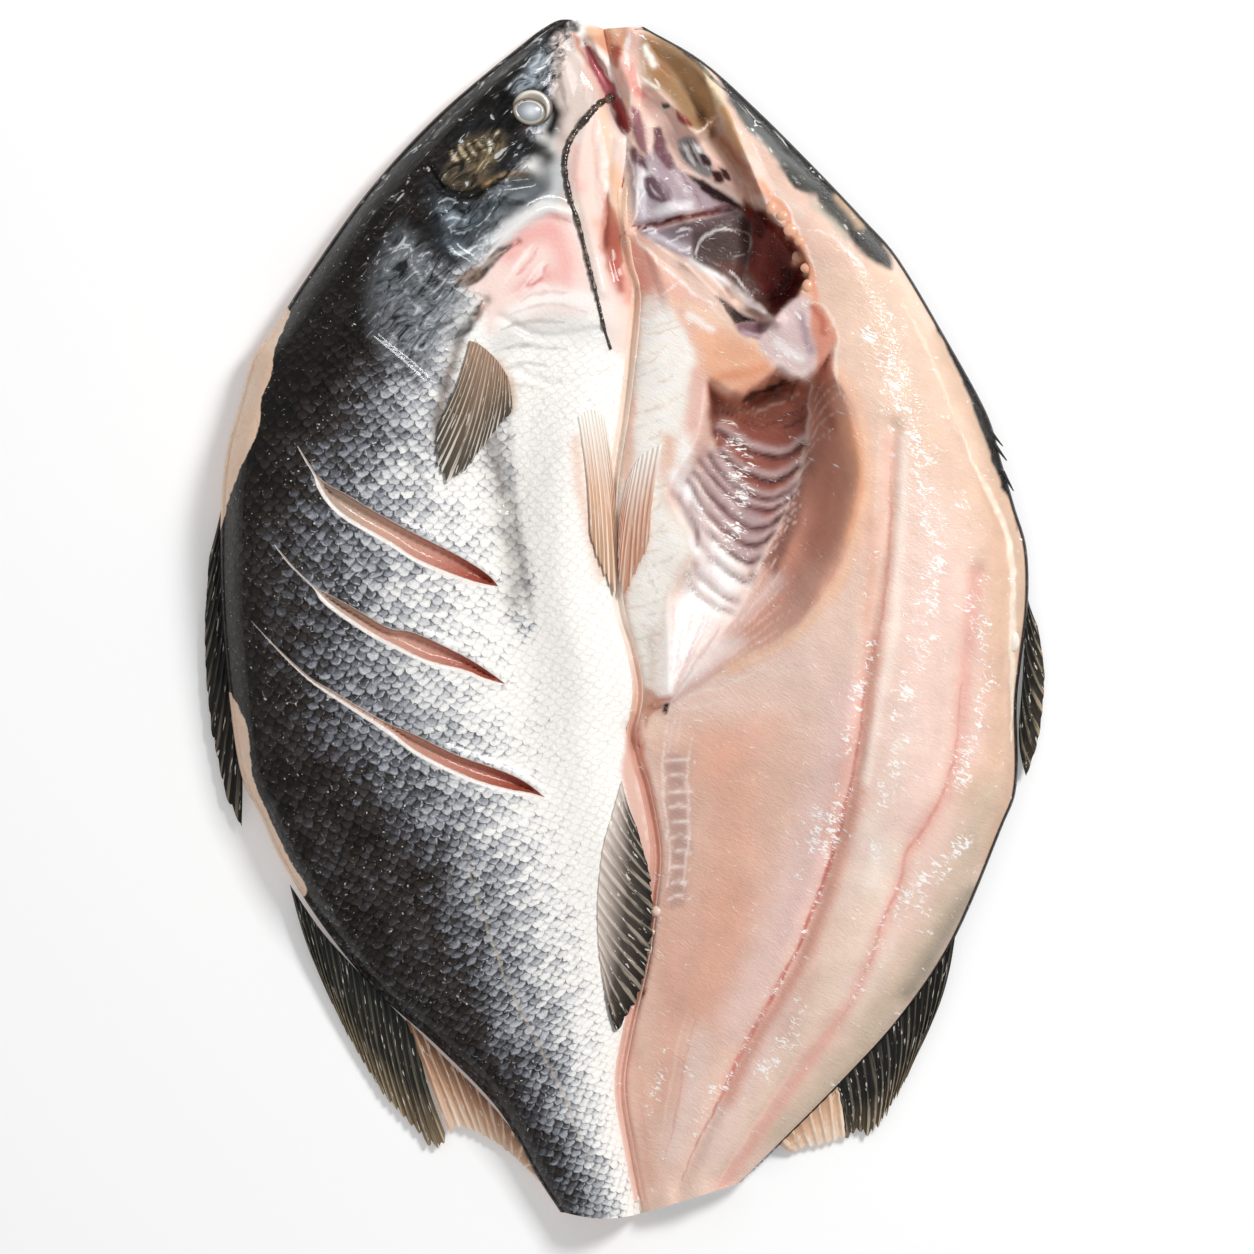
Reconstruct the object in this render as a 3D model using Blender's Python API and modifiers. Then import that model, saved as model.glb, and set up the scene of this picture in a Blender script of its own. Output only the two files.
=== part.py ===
"""A butterflied sea bass, one solid piece of fish lying flat, its head towards +Y.

The half at -X lies skin side up: back at the outer edge, belly at the hinge, three score cuts.
The half at +X lies flesh side up: belly cavity with ribs, opened head, and a long fillet.
Both halves hang together along the belly. The tail fin is cut off, the other fins are on.

The body is one grid stretched between three guide lines (left edge, hinge, right edge) and
raised by a height formula. The fins along its edges and the dark strand are fused on.
All sizes and places below are millimetres, turned to metres where the meshes are made.
"""

import math

import bmesh
import bpy
import numpy as np

NODE = "sea_bass"
MM = 0.001

# Grid of the body before it is thinned out, and the share of its faces that stays.
COLUMNS = 190
ROWS = 280
EDGE_CROWDING = 1.3
KEPT_SHARE = 0.042

# Underside: flat, and curling up towards the outer edge. Least flesh left over it.
EDGE_LIFT = 2.0
EDGE_CURL = 9.0
LEAST_FLESH = 1.8

# Guide lines of the body, snout to tail.
LEFT_EDGE = [
    (-12.5, 149.8), (-16.5, 149.7), (-20, 147.8), (-24.5, 144.5), (-46, 126.5), (-64, 107), (-79, 86), (-88, 72),
    (-93, 65), (-96.5, 53), (-99.5, 42), (-101, 28), (-101, 4.5), (-99, -19.5),
    (-96, -39.5), (-91, -50), (-86, -61), (-75.5, -77.5), (-62.5, -93.5),
    (-47.5, -107), (-31.5, -123.5), (-22, -140), (-16, -149.2),
]
HINGE = [
    (-5, 147.5), (-3.5, 140), (1, 121.5), (-0.5, 104.5), (1, 89.5), (3, 79.5), (0.5, 54.5),
    (-3, 29.5), (-1.5, 4.5), (2, -8.5), (3.5, -19), (2, -31), (5.5, -43.5), (8, -58.5),
    (7, -71), (5, -86), (0.5, -106), (-1, -118.5), (1.5, -134), (4.5, -149.5),
]
RIGHT_EDGE = [
    (5, 148), (19.5, 139.5), (33.5, 127), (48, 112.5), (60.3, 99.5), (69, 89.5),
    (81.5, 68.5), (91, 51), (94.5, 39.5), (98, 27.5), (101, 17), (101.3, 3), (99.5, -12),
    (98.5, -22.5), (98.5, -42), (94.5, -53.5), (83, -80.5), (70, -100), (55.5, -116),
    (39, -132.5), (30, -141.5),
]

# How far the cut end of the tail bulges between the guide lines, over this share of the rows.
TAIL_BULGE = 1.1
TAIL_SHARE = 0.05

# Height of the uncut body at stations along it (y), at shares of the way from hinge to edge.
LEFT_SHARES = [0, 0.12, 0.28, 0.5, 0.78, 0.93, 1]
LEFT_STATIONS = {
    149: [3, 5, 6, 7, 6, 4, 2.8],
    130: [4, 7, 9, 14, 14, 9, 3.5],
    100: [5, 9, 13, 18, 19, 13, 4.5],
    70: [7, 12, 13, 18, 21, 16, 6],
    30: [8, 14, 11, 18, 22, 18, 7],
    -10: [8, 14, 12, 19, 21, 16.5, 6.5],
    -50: [7, 12, 13.5, 18.5, 19, 14, 5.5],
    -100: [6, 10, 13, 15, 14, 9.5, 4],
    -149: [4.5, 8, 11, 12, 10, 7, 3.5],
}
RIGHT_SHARES = [0, 0.1, 0.3, 0.6, 0.8, 0.93, 1]
RIGHT_STATIONS = {
    149: [3, 5, 6, 7, 6, 4, 2.8],
    120: [5, 9, 10, 12, 13, 10, 4.5],
    90: [7, 11, 13, 18, 20, 15, 5.5],
    50: [8, 12, 16, 22.5, 21.5, 15, 6],
    0: [8, 12, 17, 23, 20, 14, 5.5],
    -30: [7, 9.5, 15, 22, 19, 13, 5.5],
    -80: [6, 8, 13, 17.5, 15, 10, 4.5],
    -120: [5, 7, 10, 12.5, 10.5, 7.5, 4],
    -149: [4.5, 6, 8, 9, 8, 6, 3.5],
}

# Belly cavity: its outline, its floor and the breadth of its two side walls.
CAVITY = [
    (53, 68.5), (52, 61.5), (56, 54), (59, 45), (59.5, 35.5), (58.5, 28), (55, 16),
    (50, 7), (40.5, -5), (24.5, -13), (12, -21), (10.8, -8), (10.8, 6), (16.5, 12.5),
    (17.5, 18.5), (12, 27), (11, 31), (12, 35.5), (17.8, 45), (19.3, 53.5), (21, 60),
    (29.5, 56), (38, 63), (44, 60),
]
CAVITY_RIM = [(53, 68.5), (56, 54), (59.5, 35.5), (55, 16), (50, 7), (40.5, -5), (12, -21)]
CAVITY_FLOOR = 4.6
CAVITY_WALL = 13.0
CAVITY_LIP = 5.0
RIB_PITCH = 6.0
RIB_RELIEF = 0.75
RIB_BOW = 0.063

# Gill chamber, its deep red hollow at the back, and the smooth hollow of the upper jaw.
GILL = [
    (-1.5, 124), (4, 134), (13, 127.5), (18, 121), (24, 126), (29.5, 117.5), (34.5, 106),
    (36.5, 101.5), (41, 96), (44.5, 92), (46.5, 85.5), (43, 79.5), (38.5, 75.5), (34, 70),
    (26.5, 74.5), (23, 80.5), (15.5, 87.5), (4, 96), (2.5, 98), (2.5, 110.5),
]
GILL_FLOOR = 5.5
GILL_DEEP = [
    (30, 112), (34.5, 105), (37, 100), (41.5, 95.5), (44.5, 91), (45, 85.5), (41, 79.5),
    (33, 77), (26, 79), (28, 90), (29, 100),
]
GILL_DEEP_FLOOR = 2.4
JAW_HOLLOW = [(5, 145.5), (4.5, 136), (13, 128.5), (18, 121), (24, 126), (18.5, 137), (11, 144)]
JAW_FLOOR = 4.6

# Score cuts through the skin: upper lip and lower lip of each, from the back to the belly.
SLASHES = [
    [[(-78, 36.5), (-69, 30.5), (-52, 21), (-41.5, 15.5), (-34.5, 11), (-31.5, 8)],
     [(-78, 35.5), (-69, 25), (-58.5, 19), (-43, 11), (-36.5, 9), (-31.5, 7.5)]],
    [[(-78, 8.5), (-66.5, 2), (-58.5, -3), (-52, -4), (-41, -9), (-34.5, -13), (-29.5, -16.5)],
     [(-78, 8), (-72, 2), (-64, -3.5), (-57, -7), (-49, -10.5), (-39.5, -13.5), (-30, -17)]],
    [[(-66, -22.5), (-60, -26), (-52, -29.5), (-41.5, -34.5), (-30.5, -38.5), (-20, -45)],
     [(-66, -23), (-56, -30.5), (-47.5, -35.5), (-38.5, -39.5), (-28.5, -43), (-20, -45.5)]],
]
SLASH_DEPTH = 5.5

# Raised folds (positive) and grooves (negative): height, half breadth, line.
FOLDS = [
    ("mouth slit", -4.5, 1.7, [(-10, 143.5), (-6, 136), (-2.5, 128.5), (0.3, 121.5)]),
    ("upper lip", 1.4, 1.8, [(-14, 147), (-10, 140), (-6, 134), (-3, 128)]),
    ("tongue side fold", 1.6, 2.0, [(-1, 139), (1.5, 129), (-1.5, 117), (-2, 104), (0, 96)]),
    ("throat fold", 1.5, 2.2, [(-9, 124), (-11, 110), (-8, 96), (-5, 82)]),
    ("second throat fold", 1.0, 1.5, [(-5, 120), (-6, 108), (-4, 96), (-1, 84)]),
    ("jaw rim", 2.4, 2.0, [(12, 146), (19, 138), (25.5, 127.5), (29.5, 117.5), (34, 106.5)]),
    ("gill cover band", 1.3, 1.6, [(-36, 86.5), (-27, 98), (-19.5, 103), (-14.5, 101.5)]),
    ("gill slit", -1.6, 1.0, [(-40, 83), (-33, 88.5), (-26.5, 94)]),
    ("gill cover edge", -2.4, 1.4, [(-34.5, 79), (-39, 73.5), (-43.5, 68.5)]),
    ("fold under the eye", -1.4, 1.3, [(-36, 106.5), (-29.5, 107), (-23.5, 109)]),
    ("cheek fold", 1.2, 1.6, [(-46, 100), (-43.5, 92), (-38, 88)]),
    ("crown ridge", 1.2, 4.0, [(-22, 141), (-38, 127), (-54, 111), (-68, 94)]),
    ("gill arch", 2.6, 1.7, [(17, 87), (27, 80.5), (38, 74.5)]),
    ("gill plate", 3.4, 4.5, [(4, 122), (8, 108), (15, 100), (24, 97)]),
    ("upper gill plate", 3.0, 3.5, [(8, 130), (17, 118), (24, 112), (30, 104)]),
    ("red slit", -1.6, 1.0, [(3.5, 97.5), (16, 99.5), (30, 102.5)]),
    ("fillet groove", -1.7, 2.4, [
        (67, 47), (65.5, 22), (62, -1), (59.5, -21), (57.5, -38), (52.5, -57.5), (43, -85.5),
        (29.5, -109.5), (24.5, -119.5), (13.5, -143)]),
    ("outer fillet groove", -1.3, 2.6, [
        (88, 11), (85.5, -9), (82.5, -38), (76, -51), (70.5, -59.5), (65.5, -76.5),
        (51, -103), (39, -119.5), (23, -143)]),
    ("outer membrane", 0.7, 1.6, [(82, 50), (90, 34), (96, 16), (95.5, -10), (95, -34)]),
    ("belly seam", -3.0, 1.2, [
        (3, 80), (0.5, 54.5), (-3, 29.5), (-1.5, 4.5), (2, -8.5), (3.5, -19), (2, -31),
        (5.5, -43.5), (8, -58.5), (7, -71), (5, -86), (0.5, -106), (-1, -118.5),
        (1.5, -134), (4.5, -149.5)]),
    ("vent", -3.0, 1.6, [(1.5, -28), (2.8, -32.5)]),
    ("flank crease", -1.0, 1.3, [(-61, 71), (-50, 62), (-40, 50), (-34, 40), (-30, 28)]),
    ("second flank crease", -0.8, 1.2, [(-30, 52), (-29, 36), (-27, 18), (-24, 0)]),
    ("throat crease", -0.8, 1.1, [(-31, 75), (-20, 70), (-6, 72)]),
    ("second throat crease", -0.7, 1.0, [(-27, 62), (-17, 58), (-5, 61)]),
]

# Fins that lie on the fish: height, bow of the rays, outline from the root round the tips.
LYING_FINS = [
    ("pectoral fin", 1.5, 9, [
        (-37.5, 71), (-43, 60.5), (-46, 50), (-47, 42), (-45.5, 35), (-44, 33.5), (-38.5, 37),
        (-35, 43), (-31.5, 47.5), (-28, 52), (-29.5, 62)]),
    ("left pelvic fin", 1.3, 7, [
        (-12, 48), (-12.5, 43), (-11, 31), (-7.5, 19), (-4.5, 11), (-2, 7), (-2.5, 22),
        (-3, 37), (-4.5, 49)]),
    ("right pelvic fin", 1.3, 7, [
        (9.5, 45), (8.5, 35), (7.5, 26), (4, 12), (-1.5, 7), (-2.2, 18), (-2.2, 31),
        (-0.5, 39)]),
    ("anal fin", 1.5, 10, [
        (-1, -39.5), (2, -53.5), (4.5, -68.5), (5, -76.5), (3.5, -86), (2, -92.5),
        (0, -102), (-2.5, -104), (-5.5, -96.5), (-8, -86), (-7, -72.5), (-4, -59)]),
]

# Fins that stand out from the edges: root line inside the body, tip line, their heights,
# the number of rays and how deep the edge is cut between them.
EDGE_FINS = [
    ("left spiny fin", 11, 1.2, 4.2, 2.4,
     [(-98, 40), (-97.5, 22), (-97, 4), (-95.5, -18), (-93.5, -36), (-91, -50)],
     [(-100.5, 38), (-103.5, 22), (-105, 4), (-105.5, -20), (-104, -36), (-98, -53)]),
    ("left soft fin", 13, 2.0, 3.8, 1.2,
     [(-82, -62), (-70, -80), (-56, -95), (-42, -107), (-28, -121), (-19, -137)],
     [(-84.5, -69), (-77.5, -86), (-71.5, -99.5), (-62.5, -114), (-50, -130.5), (-45, -134),
      (-41, -132), (-35.5, -132), (-23, -139.5)]),
    ("right spiny fin", 9, 1.2, 4.2, 2.4,
     [(97, 14), (97.5, 0), (96, -14), (95, -28), (94, -42)],
     [(102.5, 11), (104.5, 1), (105.5, -14), (104.5, -29), (99, -42)]),
    ("right soft fin", 13, 1.8, 3.8, 1.2,
     [(94, -42), (88, -58), (78, -77), (66, -94), (52, -110), (38, -126)],
     [(96.5, -47), (91, -66), (84.5, -84), (77, -102), (72, -113), (65.5, -125), (60, -132),
      (54, -133), (41.5, -134)]),
]
FIN_THICKNESS = 1.5
FIN_STEPS = 3

# Cut spine ends along the right edge: where each starts and where it points.
SPINES = [((89, 49), (94.5, 45)), ((91, 44), (96, 40)), ((94, 36), (98.5, 32))]
SPINE_RADIUS = 0.8

# Eye: centre, and the radii of its ring and its lens.
EYE = (-23.2, 127)
EYE_RING = 5.0
EYE_LENS = 3.6

# Flap and lobe of soft tissue between the two cavities.
LOBE = [(34, 70), (38.5, 75.5), (42, 79), (46, 80.5), (47, 70), (45.5, 60.5), (41, 61), (38, 63)]
FLAP = [(4, 94), (16, 85), (26, 73), (36, 67), (37, 62), (29.5, 56.5), (20, 60), (12, 70)]

# Dark strand that runs from the corner of the mouth down the throat.
STRAND = [
    (-3, 130.5), (-6.5, 128.5), (-10, 124), (-13.5, 119.5), (-15, 114.5), (-14.5, 110),
    (-13, 103), (-11.5, 98.5), (-8.5, 86), (-6.5, 79), (-5, 72.5), (-3, 67.5),
]
STRAND_RADIUS = 0.95
STRAND_STEPS = 3


def smooth_line(points, per_span=6):
    """Points along the Catmull-Rom curve through the given points."""
    given = np.array(points, float)
    padded = np.vstack([2 * given[0] - given[1], given, 2 * given[-1] - given[-2]])
    found = []
    for a, b, c, d in zip(padded[:-3], padded[1:-2], padded[2:-1], padded[3:]):
        for t in np.arange(per_span) / per_span:
            bend = (2 * a - 5 * b + 4 * c - d) * t * t + (3 * b - a - 3 * c + d) * t**3
            found.append(b + 0.5 * ((c - a) * t + bend))
    found.append(given[-1])
    return np.array(found)


def spread(line, shares):
    """Points of a line at the given shares of its length."""
    steps = np.linalg.norm(np.diff(line, axis=0), axis=1)
    along = np.concatenate([[0], np.cumsum(steps)]) / steps.sum()
    return np.stack([np.interp(shares, along, line[:, i]) for i in (0, 1)], axis=-1)


def ramp(low, high, value):
    """Smooth step from 0 at low to 1 at high."""
    t = np.clip((value - low) / (high - low), 0, 1)
    return t * t * (3 - 2 * t)


def distance(x, y, line):
    """Distance from each point to a line of points."""
    nearest = np.full(x.shape, 1e9)
    for (ax, ay), (bx, by) in zip(line[:-1], line[1:]):
        dx, dy = bx - ax, by - ay
        t = np.clip(((x - ax) * dx + (y - ay) * dy) / (dx * dx + dy * dy + 1e-12), 0, 1)
        nearest = np.minimum(nearest, np.hypot(x - ax - t * dx, y - ay - t * dy))
    return nearest


def depth_inside(x, y, outline):
    """Distance to a closed outline, positive inside it and negative outside."""
    line = smooth_line(list(outline) + [outline[0]], 3)
    within = np.zeros(x.shape, bool)
    for (ax, ay), (bx, by) in zip(line[:-1], line[1:]):
        crossed = (ay > y) != (by > y)
        within ^= crossed & (x < (bx - ax) * (y - ay) / (by - ay + 1e-12) + ax)
    return np.where(within, 1, -1) * distance(x, y, line)


def guide_x(points, y):
    """Where a guide line crosses each y."""
    line = smooth_line(points)[::-1]
    return np.interp(y, line[:, 1], line[:, 0])


def station_heights(share, y, shares, stations):
    """Height read smoothly between the stations and their shares."""
    places = np.array(sorted(stations), float)
    table = np.array([stations[int(p)] for p in places], float)
    fine = np.linspace(0, 1, 81)
    rows = []
    for heights in table:
        line = smooth_line(np.stack([shares, heights], axis=1), 8)
        rows.append(np.interp(fine, line[:, 0], line[:, 1]))
    rows = np.array(rows)
    row = np.interp(y, places, np.arange(len(places)))
    low = np.clip(row.astype(int), 0, len(places) - 2)
    blend = ramp(0, 1, row - low)
    column = np.clip(share, 0, 1) * 80
    left = np.clip(column.astype(int), 0, 79)
    part = column - left
    below = rows[low, left] * (1 - part) + rows[low, left + 1] * part
    above = rows[low + 1, left] * (1 - part) + rows[low + 1, left + 1] * part
    return below * (1 - blend) + above * blend


def uncut_height(x, y):
    """The body before anything is opened: two rounded halves that meet at the hinge."""
    hinge = guide_x(HINGE, y)
    left = (hinge - x) / (hinge - guide_x(LEFT_EDGE, y))
    right = (x - hinge) / (guide_x(RIGHT_EDGE, y) - hinge)
    return np.where(
        x < hinge,
        station_heights(left, y, LEFT_SHARES, LEFT_STATIONS),
        station_heights(right, y, RIGHT_SHARES, RIGHT_STATIONS),
    )


def carve_cavity(x, y, z):
    """Belly cavity: a bowl with a broad wall under the fillet, and bowed ribs on its floor."""
    inside = depth_inside(x, y, CAVITY)
    to_rim = distance(x, y, smooth_line(CAVITY_RIM))
    wall = 1 - ramp(0, CAVITY_WALL, to_rim)
    lip = 1 - ramp(0, CAVITY_LIP, inside)
    floor = CAVITY_FLOOR + (z - CAVITY_FLOOR) * np.maximum(wall**1.3, lip)
    middle = np.interp(y, [0, 55], [26, 36])
    phase = (y - RIB_BOW * (x - middle) ** 2) / RIB_PITCH
    on_floor = ramp(1, 5, inside) * ramp(3, 9, to_rim) * ramp(-6, 4, y)
    ribs = RIB_RELIEF * np.cos(2 * math.pi * phase) * on_floor
    return np.where(inside > 0, floor + ribs, z)


def carve_head(x, y, z):
    """Gill chamber with its deep hollow, and the smooth hollow of the upper jaw."""
    for outline, floor, breadth in (
        (GILL, GILL_FLOOR, 3.0),
        (GILL_DEEP, GILL_DEEP_FLOOR, 3.0),
        (JAW_HOLLOW, JAW_FLOOR, 5.0),
    ):
        inside = depth_inside(x, y, outline)
        z = np.where(inside > 0, z + (floor - z) * ramp(0, breadth, inside), z)
    return z


def carve_slashes(x, y, z):
    """Score cuts: steep on the side of the head, sloping on the side of the tail."""
    for upper, lower in SLASHES:
        inside = depth_inside(x, y, upper + lower[::-1])
        z = z - SLASH_DEPTH * ramp(0, 2.6, inside) + 0.5 * np.exp(-((inside + 1) ** 2))
    return z


def add_folds(x, y, z):
    """Folds and grooves: a bell across each line."""
    for _, height, breadth, points in FOLDS:
        z = z + height * np.exp(-((distance(x, y, smooth_line(points)) / breadth) ** 2))
    return z


def add_tissue(x, y, z):
    """The flap and the lobe between the two cavities, lying over their edges."""
    for outline, rise in ((FLAP, 12.0), (LOBE, 14.5)):
        inside = depth_inside(x, y, outline)
        z = np.where(inside > 0, np.maximum(z, z + (rise - z) * ramp(0, 3, inside)), z)
    return z


def add_eye(x, y, z):
    """The eye: a raised ring round a clouded lens."""
    away = np.hypot(x - EYE[0], y - EYE[1])
    ring = 0.9 * np.exp(-(((away - EYE_RING + 0.8) / 0.8) ** 2))
    lens = 1.4 * np.sqrt(np.clip(1 - (away / EYE_LENS) ** 2, 0, 1))
    return z + ring + lens


def add_lying_fins(x, y, z):
    """Fins that lie on the fish: thin plates with rays running from root to tip."""
    for _, rise, rays, outline in LYING_FINS:
        inside = depth_inside(x, y, outline)
        root = (np.array(outline[0]) + np.array(outline[-1])) / 2
        angle = np.arctan2(x - root[0], root[1] - y)
        plate = rise * ramp(0, 0.9, inside)
        ripple = 0.35 * np.cos(angle * 2 * math.pi * rays) * ramp(0.5, 2, inside)
        z = z + plate + ripple
    return z


def top_height(x, y):
    """Height of everything that shows from above."""
    z = uncut_height(x, y)
    z = carve_cavity(x, y, z)
    z = carve_head(x, y, z)
    z = add_tissue(x, y, z)
    z = carve_slashes(x, y, z)
    z = add_folds(x, y, z)
    z = add_lying_fins(x, y, z)
    return add_eye(x, y, z)


def edge_line():
    """The outline of the body, round from the snout over the tail and back."""
    left, right = smooth_line(LEFT_EDGE), smooth_line(RIGHT_EDGE)
    return np.vstack([left, right[::-1], left[:1]])


def under_height(x, y):
    """The underside: flat, curling up close to the edge."""
    curl = 1 - np.clip(distance(x, y, edge_line()) / EDGE_CURL, 0, 1)
    return EDGE_LIFT * curl**2


def body_places():
    """Plan places of the grid: rows from snout to tail, columns from left edge to right edge."""
    along = np.linspace(0, 1, ROWS)
    left, hinge, right = (spread(smooth_line(g), along) for g in (LEFT_EDGE, HINGE, RIGHT_EDGE))
    half = COLUMNS // 2
    # Columns crowd towards the outer edge, where the surface turns down.
    share = 1 - (1 - np.linspace(0, 1, half + 1)) ** EDGE_CROWDING
    left_part = hinge[:, None] + (left - hinge)[:, None] * share[::-1][None, :, None]
    right_part = hinge[:, None] + (right - hinge)[:, None] * share[1:][None, :, None]
    near_tail = ramp(1 - TAIL_SHARE, 1, along)
    left_part[..., 1] -= TAIL_BULGE * near_tail[:, None] * np.sin(math.pi * share[::-1])
    return np.concatenate([left_part, right_part], axis=1)


def new_object(name, mesh, collection):
    obj = bpy.data.objects.new(name, mesh)
    collection.objects.link(obj)
    return obj


def lay_out(verts, places):
    """Plan place of each vertex of a unit grid: its own corner tells its row and column."""
    rows, columns = places.shape[:2]
    column = np.rint([(v.co.x + 0.5) * (columns - 1) for v in verts]).astype(int)
    row = np.rint([(0.5 - v.co.y) * (rows - 1) for v in verts]).astype(int)
    return places[row, column, 0], places[row, column, 1]


def move_to(verts, x, y, z):
    for vertex, *place in zip(verts, x, y, z):
        vertex.co = [value * MM for value in place]


def make_body(collection):
    """The body: a grid extruded to a top and an underside, each shaped, then thinned out."""
    places = body_places()
    rows, columns = places.shape[:2]
    grid = bmesh.new()
    bmesh.ops.create_grid(grid, x_segments=columns - 1, y_segments=rows - 1, size=0.5)
    under = list(grid.verts)
    copied = bmesh.ops.extrude_face_region(grid, geom=list(grid.faces), use_keep_orig=True)
    top = [item for item in copied["geom"] if isinstance(item, bmesh.types.BMVert)]
    for verts in (under, top):
        x, y = lay_out(verts, places)
        z = under_height(x, y)
        if verts is top:
            z = np.maximum(top_height(x, y), z + LEAST_FLESH)
        move_to(verts, x, y, z)
    bmesh.ops.recalc_face_normals(grid, faces=grid.faces)
    mesh = bpy.data.meshes.new(NODE)
    grid.to_mesh(mesh)
    grid.free()
    body = new_object(NODE, mesh, collection)
    thin = body.modifiers.new("thin out", "DECIMATE")
    thin.ratio = KEPT_SHARE
    return body


def make_edge_fin(name, rays, cut, root_height, tip_height, root, tip, collection):
    """A fin that stands out from the edge: a plate with raised rays and a notched border."""
    along = rays * 2
    grid = bmesh.new()
    bmesh.ops.create_grid(grid, x_segments=along, y_segments=FIN_STEPS, size=0.5)
    u = np.array([v.co.x + 0.5 for v in grid.verts])
    w = np.array([v.co.y + 0.5 for v in grid.verts])
    between = 0.5 - 0.5 * np.cos(2 * math.pi * rays * u)
    root_at, tip_at = spread(smooth_line(root), u), spread(smooth_line(tip), u)
    reach = np.linalg.norm(tip_at - root_at, axis=1)
    out = w * (1 - between * cut / reach)
    places = root_at + (tip_at - root_at) * out[:, None]
    height = root_height + (tip_height - root_height) * w - 0.35 * between * w
    for vertex, place, z in zip(grid.verts, places, height):
        vertex.co = (place[0] * MM, place[1] * MM, z * MM)
    bmesh.ops.recalc_face_normals(grid, faces=grid.faces)
    mesh = bpy.data.meshes.new(name)
    grid.to_mesh(mesh)
    grid.free()
    fin = new_object(name, mesh, collection)
    plate = fin.modifiers.new("plate", "SOLIDIFY")
    plate.thickness = FIN_THICKNESS * MM
    plate.offset = 0
    return fin


def make_tube(name, points, radii, collection):
    """A round tube through the points, its radius changing along it, as a closed mesh."""
    curve = bpy.data.curves.new(name, "CURVE")
    curve.dimensions = "3D"
    curve.bevel_depth = MM
    curve.bevel_resolution = 1
    curve.use_fill_caps = True
    spline = curve.splines.new("POLY")
    spline.points.add(len(points) - 1)
    for target, place, radius in zip(spline.points, points, radii):
        target.co = (*(value * MM for value in place), 1)
        target.radius = radius
    guide = new_object(name + " guide", curve, collection)
    bpy.context.view_layer.update()
    graph = bpy.context.evaluated_depsgraph_get()
    mesh = bpy.data.meshes.new_from_object(guide.evaluated_get(graph))
    bpy.data.objects.remove(guide)
    shape = bmesh.new()
    shape.from_mesh(mesh)
    bmesh.ops.remove_doubles(shape, verts=shape.verts, dist=0.00001)
    bmesh.ops.recalc_face_normals(shape, faces=shape.faces)
    shape.to_mesh(mesh)
    shape.free()
    return new_object(name, mesh, collection)


def make_strand(collection):
    """The dark strand, lying on the throat and running out to a thin end."""
    line = smooth_line(STRAND, STRAND_STEPS)
    height = top_height(line[:, 0], line[:, 1])
    share = np.linspace(0, 1, len(line))
    radius = STRAND_RADIUS * (1 - 0.6 * share)
    points = np.column_stack([line, height + radius * 0.3])
    return make_tube("strand", points, radius, collection)


def make_spines(collection):
    """Cut spine ends that stick out along the right edge."""
    for i, (start, end) in enumerate(SPINES):
        points = [(*start, 8.5), (*end, 6.5)]
        make_tube(f"spine {i}", points, [SPINE_RADIUS, SPINE_RADIUS * 0.4], collection)


def fuse(body, collection):
    """One Boolean union of the body with all that stands out from it."""
    join = body.modifiers.new("fuse", "BOOLEAN")
    join.operation = "UNION"
    join.operand_type = "COLLECTION"
    join.collection = collection
    join.solver = "EXACT"
    bpy.context.view_layer.update()
    graph = bpy.context.evaluated_depsgraph_get()
    mesh = bpy.data.meshes.new_from_object(body.evaluated_get(graph))
    body.modifiers.clear()
    body.data = mesh
    for helper in list(collection.objects):
        bpy.data.objects.remove(helper)


def fish_material():
    """Silver-dark skin: the plain colour of the whole in the CAD model."""
    material = bpy.data.materials.new("sea bass skin and flesh")
    material.use_nodes = True
    shader = material.node_tree.nodes["Principled BSDF"]
    shader.inputs["Base Color"].default_value = (0.42, 0.36, 0.34, 1)
    shader.inputs["Roughness"].default_value = 0.35
    shader.inputs["Metallic"].default_value = 0.0
    return material


def main():
    for obj in list(bpy.data.objects):
        bpy.data.objects.remove(obj)
    scene = bpy.context.scene
    fish = bpy.data.collections.new("butterflied sea bass")
    joined = bpy.data.collections.new("joined on")
    scene.collection.children.link(fish)
    scene.collection.children.link(joined)
    body = make_body(fish)
    for fin in EDGE_FINS:
        make_edge_fin(*fin, joined)
    make_strand(joined)
    make_spines(joined)
    for helper in joined.objects:
        helper.hide_render = True
        helper.display_type = "WIRE"
    fuse(body, joined)
    body.data.materials.clear()
    body.data.materials.append(fish_material())
    body.data.shade_smooth()
    body.data.set_sharp_from_angle(angle=math.radians(40))


main()
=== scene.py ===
"""A butterflied sea bass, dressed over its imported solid: scaled skin, raw flesh, open cavities, fins.

The fish lies flat with its head towards +Y. The half at -X shows its skin, the half at +X its flesh.
Sections follow the fish as it is laid out: each holds one piece or a group of like pieces.
Sizes and places are millimetres, turned to metres where a mesh is made.
"""

import functools
import math

import bpy
import numpy as np
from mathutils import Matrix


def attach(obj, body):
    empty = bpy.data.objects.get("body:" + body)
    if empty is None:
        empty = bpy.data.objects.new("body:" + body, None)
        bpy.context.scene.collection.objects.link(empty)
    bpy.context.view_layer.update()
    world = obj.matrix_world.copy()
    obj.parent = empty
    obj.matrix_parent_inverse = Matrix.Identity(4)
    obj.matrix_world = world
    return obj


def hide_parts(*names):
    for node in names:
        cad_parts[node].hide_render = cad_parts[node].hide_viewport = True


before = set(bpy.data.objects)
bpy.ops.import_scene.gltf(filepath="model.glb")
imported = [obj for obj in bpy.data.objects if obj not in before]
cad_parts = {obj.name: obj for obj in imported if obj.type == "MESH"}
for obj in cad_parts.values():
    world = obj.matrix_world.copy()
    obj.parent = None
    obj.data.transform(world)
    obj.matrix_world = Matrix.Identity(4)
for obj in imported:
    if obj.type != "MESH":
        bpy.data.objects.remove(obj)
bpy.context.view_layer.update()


# ---- How the fish lies -----------------------------------------------------------------------
# A bass opened from the mouth to the vent and laid flat on its two halves, joined at the belly.
# Three guide lines run from snout to tail: the edge of the skin half, the hinge at the belly,
# and the edge of the flesh half. Heights are read between them.

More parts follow.
